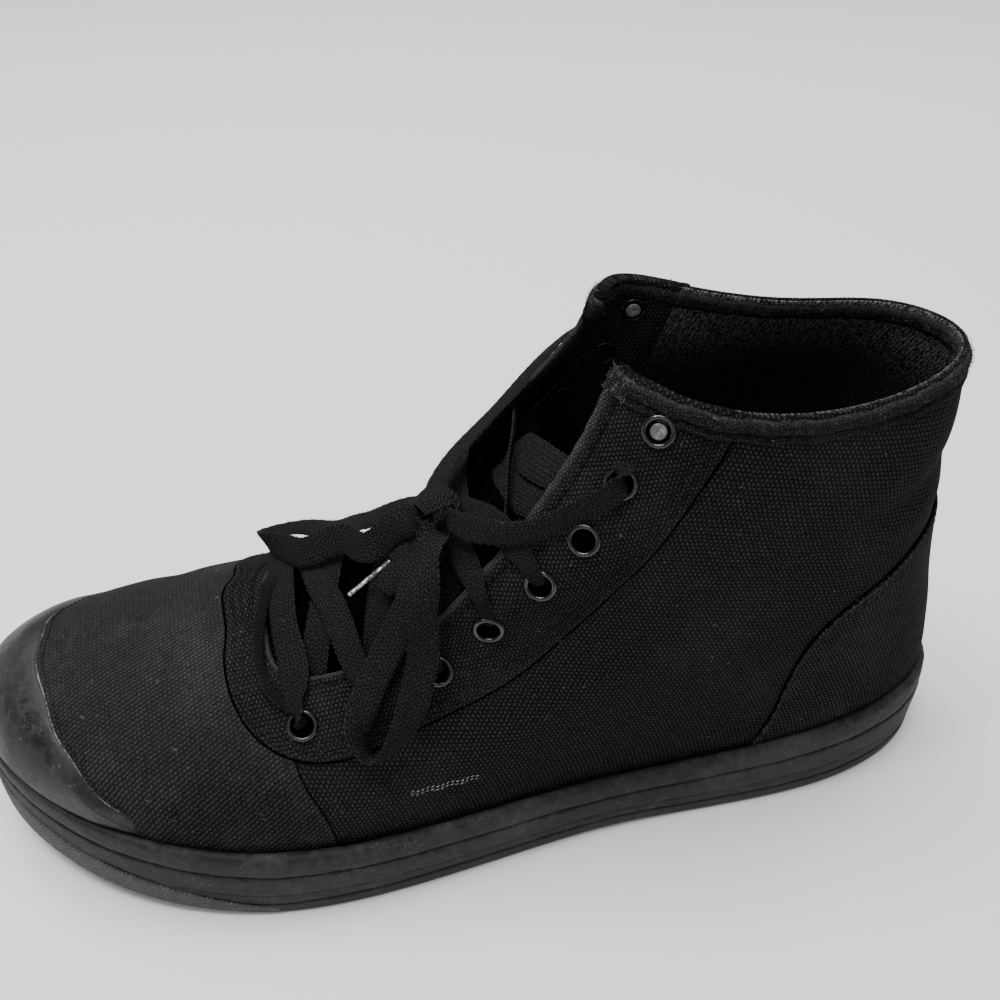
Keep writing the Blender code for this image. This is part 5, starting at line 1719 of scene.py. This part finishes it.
@dataclass
class Eyelets:
    """Sixteen rolled eyelets, turned from one profile."""

    sides: int = 32
    profile: tuple[tuple[float, float], ...] = (
        (2.95, 0.65), (2.98, 1.35), (3.1, 1.75), (3.35, 2.03), (3.7, 2.15), (4.05, 2.05), (4.35, 1.7),
        (4.45, 1.25), (4.35, 0.85), (3.9, 0.75), (3.3, 0.65), (3.2, -2.35), (3.6, -2.75), (3.5, -3.1),
        (3.2, -3.2), (2.98, -2.95), (2.93, -2.35))
    # painted shade: a near-black plug in the hollow of the barrel, from its outer mouth to its inner one
    floor: tuple[tuple[float, float], ...] = (
        (2.9, 1.5), (2.6, 1.42), (1.8, 1.38), (0.02, 1.36), (0.02, -3), (1.8, -3.02), (2.6, -3.1),
        (2.9, -3.15))
    # pale washer that shows through the empty eyelets of the last row
    washer: tuple[tuple[float, float], ...] = (
        (0.02, 1.6), (1.2, 1.66), (1.8, 1.64), (2.15, 1.5), (2.15, -3.2), (1.8, -3.34), (1.2, -3.36),
        (0.02, -3.3))

    def build(self) -> None:
        """Make each eyelet in its seat on the last."""
        kinds = (("ring", self.profile, EYELET_METAL), ("hollow_shade", self.floor, PAINTED_SHADE),
                 ("washer", self.washer, WASHER_STEEL))
        for number, (level, outer, inner) in enumerate(EYELET_ROWS, start=1):
            for side, degrees in (("outer", outer), ("inner", inner)):
                name = f"eyelet_{side}_{number}"
                turn, at = np.array([math.radians(degrees)]), np.array([level])
                centre, out = LAST.cloth(turn, at)[0], LAST.normal(turn, at)[0]
                first = unit(np.cross(out, (0, 0, 1)))
                second = np.cross(out, first)
                for kind, profile, finish in kinds[:3 if number == len(EYELET_ROWS) else 2]:
                    radius, height = (np.array(column)[:, None] for column in zip(*profile))
                    rings = round_rings(centre + out * height, first * radius, second * radius, self.sides)
                    uv = net(np.arange(len(profile)), whole_round(self.sides))
                    piece = add_sweep(f"{name}_{kind}", rings, uv, dressed(finish), True)
                    settle(piece, "eyelet_metal", *[name] * (kind == "ring"))


@dataclass(frozen=True)
class Ribbon:
    """Stretch of flat lace along a smooth route.

    Each anchor is (side place, station, height above the last, width, thickness, roll), with
    the roll in degrees away from lying flat.
    """

    anchors: tuple[tuple[float, ...], ...]
    step: float = 0.7
    sides: int = 18

    def path(self) -> tuple[Array, Array, Array]:
        """Points, wanted up directions, and width, thickness and roll along the route."""
        rows = []
        for x, station, proud, *rest in self.anchors:
            point, normal = LAST.over(x, station, proud)
            rows.append(np.concatenate([point, normal, rest]))
        rows = np.array(rows)
        length = reach_along(rows[:, :3])[-1]
        dense = smooth_path(rows, max(8, int(length / self.step)))
        return dense[:, :3], unit(dense[:, 3:6]), dense[:, 6:]

    def build(self, name: str, material: Material) -> Piece:
        """The lace's mesh: a flattened, softly cupped section swept along the route."""
        points, normals, sizes = self.path()
        across, up = path_frames(points, normals)
        roll = np.radians(sizes[:, 2])[:, None]
        wide = across * np.cos(roll) + up * np.sin(roll)
        tall = up * np.cos(roll) - across * np.sin(roll)
        c, s = np.cos(whole_round(self.sides)), np.sin(whole_round(self.sides))
        flat, thick = squared_off(c, 0.6), squared_off(s, 0.7)
        reach = reach_along(points)
        edge = 1 + 0.03 * np.sin(reach * 2.1)[:, None] + 0.02 * np.sin(reach * 5.3 + 1)[:, None]
        x = flat[None, :] * sizes[:, :1] / 2 * edge
        cup = 0.1 * sizes[:, 1:2] * (flat[None, :] ** 2 - 0.5) * np.sin(reach * 0.12)[:, None] * 2
        y = thick[None, :] * sizes[:, 1:2] / 2 * (1 - 0.25 * flat[None, :] ** 4) + cup
        rings = points[:, None] + x[..., None] * wide[:, None] + y[..., None] * tall[:, None]
        return add_sweep(name, rings, net(reach, flat * 4.4 + 0.2 * s), material)


FLAT = (8, 1.1, 0)
PINCH = (4.2, 2, 0)


@dataclass
class Lacing:
    """Lace strands laid through the eyelets, up to the seventh row."""

    # from the back of the inner seventh eyelet, folded over the tongue, under the outer eyestay
    folded_run: Ribbon = Ribbon((
        (-33.9, 109.6, -4.2, 4.5, 1.8, 0), (-33.2, 113.6, -3.8, 6, 1.4, 0), (-31.6, 119, -3.8, 6.5, 1.2, 0),
        (-28.2, 126.4, -3.2, 6, 1.1, 0), (-26.4, 132, -3, 4.6, 1.2, 0), (-24.6, 136, -3.2, 4.4, 1.4, 0),
        (-20.4, 138.6, -3.8, 8, 1.3, 0), (-12, 139.2, -3.8, 10.5, 1.1, 0), (-3.5, 138.2, -3.8, 11.4, 1.1, 0),
        (5, 135.5, -3.3, 11.4, 1.1, 0), (13, 132.2, -3, 10.6, 1.1, 0), (21.5, 126.2, -3.2, 8.5, 1.1, 0),
        (27, 120.5, -4.4, 6, 1.4, 0)))
    low_run: Ribbon = Ribbon((
        (-26, 141, -4.8, 6.5, 1.1, 0), (-19, 143, -4.4, 8, 1.1, 0), (-8, 144, -4.2, 8.8, 1.1, 0),
        (4, 142.6, -4, 9, 1.1, 0), (14, 139, -3.9, 9, 1.1, 0), (22, 134.4, -4, 8, 1.1, 0),
        (28, 129.5, -4.8, 6, 1.4, 0)))
    # slack fold that lies ahead of the bar
    slack_run: Ribbon = Ribbon((
        (-10, 205.5, 0.8, 5, 1.2, 0), (-4, 208.6, 2.9, 4, 1.3, 20), (4, 210.8, 3.4, 3.4, 1.4, 35),
        (14.1, 212.6, 3.5, 3.4, 1.4, 40), (25, 211.6, 3.6, 3.4, 1.4, 40), (30.6, 208, 3.2, 3.4, 1.4, 20),
        (33, 204, 1.4, 4, 1.5, 0)))

    def build(self) -> None:
        """Make the bar, the crossings and the inside run."""
        lace = dressed(COTTON_LACE)
        settle(self.bar().build("lace_bar_strand", lace), "lace_cotton", "lace_bar")
        for row in range(1, 5):
            outer, inner = self.strand(row, 1, 0.75), self.strand(row, -1, -0.75)
            if row == 4:
                inner = Ribbon(tuple((x, s, proud - 1 * (width > 5), 0.5 * width, thick, 50)
                                     for x, s, proud, width, thick, _ in inner.anchors))
            settle(outer.build(f"lace_strand_outer_{row}", lace), "lace_cotton", f"lace_cross_{row}")
            settle(inner.build(f"lace_strand_inner_{row}", lace), "lace_cotton")
        settle(self.folded_run.build("lace_strand_outer_5", lace), "lace_cotton", "lace_cross_5")
        settle(self.low_run.build("lace_strand_inner_5", lace), "lace_cotton")
        settle(self.slack_run.build("lace_bar_fold", lace), "lace_cotton")

    def strand(self, row: int, side: int, lift: float) -> Ribbon:
        """Strand from under the eyestay at one row, over the throat, into the next row's eyelet."""
        hole, goal = eyelet_place(row, side), eyelet_place(min(row - 1, 2 if side > 0 else row), -side)
        run = hole - goal
        length = float(np.linalg.norm(run))
        edge_far = 1 - 11 / length
        marks = ((3 / length, -3.4, 6.5, 1), (9 / length, -3, 7.6, 1.1), (14 / length, -1.8, 8, 1.1),
                 (0.36, 0.2 + lift * 0.4, 8, 1.1), (0.5, 1.1 + lift, 8, 1.1),
                 (0.64, 1.7 + lift * 0.6, 8, 1.1), (edge_far, 2.5, 7.6, 1.2),
                 (1 - 5.6 / length, 2.9, 6.2, 1.5), (1 - 2.6 / length, 3, 4.6, 1.9),
                 (1 - 0.6 / length, 1.4, 4, 2), (1, -1, 3.8, 2), (1, -3.4, 3.8, 2))
        rows = [(*(goal + run * share), proud, width, thick, 0) for share, proud, width, thick in marks]
        return Ribbon(tuple(rows))

    def bar(self) -> Ribbon:
        """Bar over the throat's toe end, between the first two eyelets."""
        outer, inner = (
            ((x, s, -3.4, *PINCH), (x, s, -0.8, *PINCH), (x - side * 0.6, s + 0.3, 1.6, 4.2, 2, 0),
             (x - side * 2.8, s + 1, 3.1, 5.2, 1.6, 0), (x - side * 6, s + 2, 2.9, 7, 1.2, 0))
            for side in (1, -1) for x, s in (eyelet_place(0, side),))
        return Ribbon((*outer, (27.8, 204, 2.6, *FLAT), (13.3, 205, 2.2, *FLAT), (-0.7, 205.6, 2.2, *FLAT),
                       (-18.1, 206, 2.4, *FLAT), *inner[::-1]))


@dataclass
class Bow:
    """The bow's two free cords, its knot and the bare tip on one end."""

    # side place, station, height above the last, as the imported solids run, then roll
    leg_outer: tuple = ((27, 117.6, 3.9, 20), (27.2, 123.1, 4.5, 30), (26.3, 128.9, 4.9, 38),
                        (24.8, 135.4, 5.6, 30), (20, 143.6, 7, 22), (11.2, 151.9, 8.8, 20))
    leg_inner: tuple = ((-31.2, 116.5, 4.9, 30), (-27.5, 123.3, 4.9, 22), (-23.5, 129.8, 5.2, 18),
                        (-19.2, 136.2, 6.2, 9), (-15, 142.5, 7.5, 6), (-10, 149.4, 8.7, 4),
                        (-3.4, 154.4, 9.2, 5))
    loop_front: tuple = ((-1.7, 159.1, 8.4, -15), (-7.6, 167, 7.2, -4), (-11.6, 176.8, 6, 2),
                         (-18, 184.8, 5.6, 18), (-26, 192, 6.4, 16), (-30.6, 199.4, 7.6, 20),
                         (-30.6, 206, 7.4, 28), (-25, 209.6, 6.2, 62), (-15, 203.5, 6.4, 112),
                         (-7, 194.2, 7, 126), (-1.8, 185, 7.8, 134), (-1, 176.5, 8.8, 134),
                         (0, 168, 9.6, 130), (2.1, 161.6, 9.8, 128))
    loop_side: tuple = ((9, 159.3, 6.5, 20), (19, 167.8, 5.4, 10), (23.4, 174.5, 4.7, 0),
                        (28.8, 180.6, 4.6, 0), (35.2, 185.6, 4.7, 8), (40.5, 187.6, 4.3, 45),
                        (43.4, 184.6, 4.4, 100), (41.4, 179.2, 5.6, 135), (38, 174.4, 6.8, 162),
                        (33.6, 170.6, 8, 175), (27.5, 166.6, 9.2, 165), (22.4, 162.6, 10.2, 150),
                        (11.8, 157.3, 10.4, 142))
    end_tipped: tuple = ((3.4, 164, 4.5, 0), (5.2, 169, 4.5, 0), (6.5, 172.2, 4.5, 0))
    end_frayed: tuple = ((9.4, 167.6, 4.4, 0), (11.2, 171.6, 4.3, 10), (13.8, 176, 4.3, 20))
    knot_place: tuple[float, float, float] = (4.5, 155, 9)
    tip_route: tuple = ((6.65, 172.65, 4.5), (10.8, 185.5, 4.5))
    fibres: int = 3200

    def build(self) -> None:
        lace = dressed(COTTON_LACE)
        knot = self.build_knot(lace)
        tip = self.build_tip()
        inner = self.inner_point
        front = (self.start(6, 1) + self.sized(self.leg_outer, 6.4, 6.6) + (inner(4.4, 155.4, 9.4),)
                 + self.sized(self.loop_front) + (inner(3.6, 158.6, 9), inner(3.4, 160.6, 6))
                 + self.sized(self.end_tipped, 5))
        side = (self.start(6, -1) + self.sized(self.leg_inner) + (inner(3.6, 155.6, 9.4),)
                + self.sized(self.loop_side) + (inner(7.6, 157.4, 8.4), inner(8.4, 162.6, 5.2))
                + self.sized(self.end_frayed, 6))
        self.cord("lace_cord_front", Ribbon(front),
                  ("lace_leg_outer", "lace_loop_front", "lace_end_tipped"))
        self.cord("lace_cord_side", Ribbon(side),
                  ("lace_leg_inner", "lace_loop_side", "lace_end_frayed"))

    @staticmethod
    def inner_point(x: float, station: float, proud: float) -> tuple[float, ...]:
        """Anchor hidden in the knot, where the lace is squeezed."""
        return x, station, proud, 5, 1.6, 40

    @staticmethod
    def sized(route: tuple, end_width: float = 8.6, width: float = 8.6) -> tuple:
        """Anchors of a stretch at a steady width, narrowed to end_width at its end."""
        last = len(route) - 1
        return tuple((x, s, proud, width if i < last else end_width, 1.1, roll)
                     for i, (x, s, proud, roll) in enumerate(route))

    @staticmethod
    def start(row: int, side: int) -> tuple:
        """Anchors that bring the lace out through an eyelet, from inside."""
        x, s = eyelet_place(row, side)
        if side > 0:
            return (x, s, -3.6, *PINCH), (x - 0.6, s - 0.8, -1, *PINCH), (x - 2, s - 1.2, 1.8, 4.8, 1.9, 0)
        return ((x, s, -3.6, *PINCH), (x, s, -1, *PINCH), (x + 0.4, s + 0.8, 2.2, 4.4, 2, 10),
                (x + 1.2, s + 3.6, 4, 6, 1.5, 30))

    def cord(self, name: str, ribbon: Ribbon, nodes: tuple[str, ...]) -> None:
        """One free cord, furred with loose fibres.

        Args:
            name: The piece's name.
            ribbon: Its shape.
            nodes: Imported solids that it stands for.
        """
        piece = ribbon.build(name, dressed(COTTON_LACE))
        settle(piece, "lace_cotton", *nodes)
        fur = self.fur(piece, name)
        points = ribbon.path()[0]

    def fur(self, piece: Piece, name: str) -> Piece:
        """Short fibres all over a piece of lace, worn loose by use."""
        mesh = piece.data
        points, normals = np.empty(len(mesh.vertices) * 3), np.empty(len(mesh.vertices) * 3)
        mesh.vertices.foreach_get("co", points)
        mesh.vertex_normals.foreach_get("vector", normals)
        draw = np.random.default_rng(len(mesh.vertices))
        pick = draw.integers(0, len(mesh.vertices), self.fibres)
        roots = points.reshape(-1, 3)[pick] / MM + draw.normal(size=(self.fibres, 3)) * 0.15
        fibres = Fuzz(1, 0.09).build(f"{name}_fur", roots, normals.reshape(-1, 3)[pick], dressed(FIBRE))
        return settle(fibres, "lace_cotton")

    def build_knot(self, lace: Material) -> Piece:
        """Knot: the lace wrapped once and a half round the strands."""
        centre, normal = LAST.over(*self.knot_place)
        axis = unit(np.array([0.35, -1, -0.25]))
        side = unit(np.cross(axis, normal))
        up = np.cross(side, axis)
        angle = np.linspace(0.3, 0.3 + 2 * pi * 1.35, 110)
        spread = np.linspace(0, 1, len(angle))
        points = (centre + np.cos(angle)[:, None] * side * (4.6 + 0.6 * spread[:, None])
                  + np.sin(angle)[:, None] * up * (3.4 + 0.7 * spread[:, None])
                  + axis * ((spread[:, None] - 0.5) * 3.2 + 0.5 * np.sin(angle * 2)[:, None]))
        outward = unit(np.cos(angle)[:, None] * side * 3.4 + np.sin(angle)[:, None] * up * 4.6)
        across, tall = path_frames(points, outward, 0.8)
        c, s = np.cos(whole_round(20)), np.sin(whole_round(20))
        wide = squared_off(c, 0.7) * 4.2
        crease = 0.35 * np.sin(wide[None, :] * 2.3 + angle[:, None] * 1.3)
        high = squared_off(s, 0.8) * 0.9 + crease * (s > 0)[None, :]
        rings = points[:, None] + wide[None, :, None] * across[:, None] + high[..., None] * tall[:, None]
        knot = add_sweep("lace_knot_wrap", rings, net(reach_along(points), wide), lace)
        return settle(knot, "lace_cotton", "lace_knot")

    def build_tip(self) -> Piece:
        """Bare tip: a crimped metal sleeve, dented near its end."""
        ends = [LAST.over(*row)[0] for row in self.tip_route]
        share = np.linspace(0, 1, 60)
        points = ends[0] + (ends[1] - ends[0]) * share[:, None]
        normal = LAST.over(*self.tip_route[0])[1]
        across, up = path_frames(points, np.repeat(normal[None], len(share), axis=0))
        radius = 0.7 * np.minimum(1, np.minimum(share, 1 - share) * 60) ** 0.3
        radius *= (1 - 0.1 * np.exp(-((share - 0.8) / 0.04) ** 2)
                   - 0.08 * np.exp(-((share - 0.15) / 0.03) ** 2))
        rings = round_rings(points, across * radius[:, None] * 1.05, up * radius[:, None] * 0.9, 20)
        uv = net(share * 13, whole_round(20) * 1.5)
        return settle(add_sweep("lace_tip_sleeve", rings, uv, dressed(WORN_STEEL)), "worn_steel",
                      "lace_tip")


@dataclass
class Insole:
    """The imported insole, in a worn cloth of its own."""

    def build(self) -> None:
        """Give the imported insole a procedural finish."""
        node = frame["nodes"]["insole"]
        node.data.materials.clear()
        node.data.materials.append(dressed(INSOLE_CLOTH))


# ---- the studio

@dataclass
class Studio:
    """Pale floor, soft lights and the camera."""

    place: tuple[float, float, float] = (238.3, -39, 310.5)
    yaw: float = 79.2
    pitch: float = 40.3
    roll: float = 2
    lens: float = 41.25

    def build(self) -> None:
        """Set up floor, lights, surroundings and camera."""
        self.build_floor()
        self.build_lights()
        self.build_camera()

    def build_floor(self) -> None:
        """Plain pale floor under the boot."""
        half, low = 3000, -0.05
        points = np.array([(-half, -half, low), (half, -half, low), (half, half, low), (-half, half, low)])
        material = bpy.data.materials.new("floor")
        material.use_nodes = True
        inputs = material.node_tree.nodes["Principled BSDF"].inputs
        inputs["Base Color"].default_value = (0.9, 0.9, 0.9, 1)
        inputs["Roughness"].default_value = 0.85
        add_mesh("floor", points, [(0, 1, 2, 3)], None, material)

    def build_lights(self) -> None:
        """A broad light overhead with a bright spark in it, one beside the camera and one behind."""
        for name, place, size, power in (("key", (-0.15, -0.25, 1.25), 1, 24.5),
                                         ("spark", (0.05, -0.35, 1.15), 0.09, 1.6),
                                         ("fill", (1, -0.3, 0.8), 0.9, 2),
                                         ("back", (-0.6, 0.9, 0.8), 0.7, 4)):
            data = bpy.data.lights.new(name, "AREA")
            data.shape = "SQUARE"
            data.size = size
            data.energy = power
            lamp = bpy.data.objects.new(name, data)
            lamp.location = place
            back = unit(np.array(place) - (0, 0, 0.05))
            right = unit(np.cross((0, 0, 1), back))
            lamp.rotation_euler = self.angles(right, np.cross(back, right), back)
            bpy.context.scene.collection.objects.link(lamp)
        world = bpy.data.worlds.new("studio")
        world.use_nodes = True
        world.node_tree.nodes["Background"].inputs["Color"].default_value = (0.95, 0.97, 1, 1)
        world.node_tree.nodes["Background"].inputs["Strength"].default_value = 0.38
        bpy.context.scene.world = world

    @staticmethod
    def angles(right: Array, up: Array, back: Array) -> tuple[float, float, float]:
        """Rotation angles of an object whose own axes point right, up and back."""
        return (math.atan2(up[2], back[2]), math.asin(-right[2]), math.atan2(right[1], right[0]))

    def build_camera(self) -> None:
        """Camera at the standing viewer's angle, looking down on the outer side."""
        yaw, pitch, roll = (math.radians(value) for value in (self.yaw, self.pitch, self.roll))
        back = np.array((math.sin(yaw) * math.cos(pitch), -math.cos(yaw) * math.cos(pitch), math.sin(pitch)))
        right = np.array((math.cos(yaw), math.sin(yaw), 0))
        up = np.cross(back, right)
        right, up = (right * math.cos(roll) + up * math.sin(roll),
                     up * math.cos(roll) - right * math.sin(roll))
        data = bpy.data.cameras.new("camera")
        data.lens = self.lens
        data.clip_start = 0.01
        camera = bpy.data.objects.new("camera", data)
        camera.location = np.array(self.place) * MM
        camera.rotation_euler = self.angles(right, up, back)
        bpy.context.scene.collection.objects.link(camera)
        bpy.context.scene.camera = camera


def main() -> None:
    """Build every piece and set up the studio."""
    logging.basicConfig(level=logging.INFO, format="%(name)s %(message)s")
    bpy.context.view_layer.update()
    for part in (Upper(), ToeCap(), Sole(), Tongue(), Insole(), Eyelets(), Lacing(), Bow(), Studio()):
        part.build()


if __name__ == "__main__":
    main()
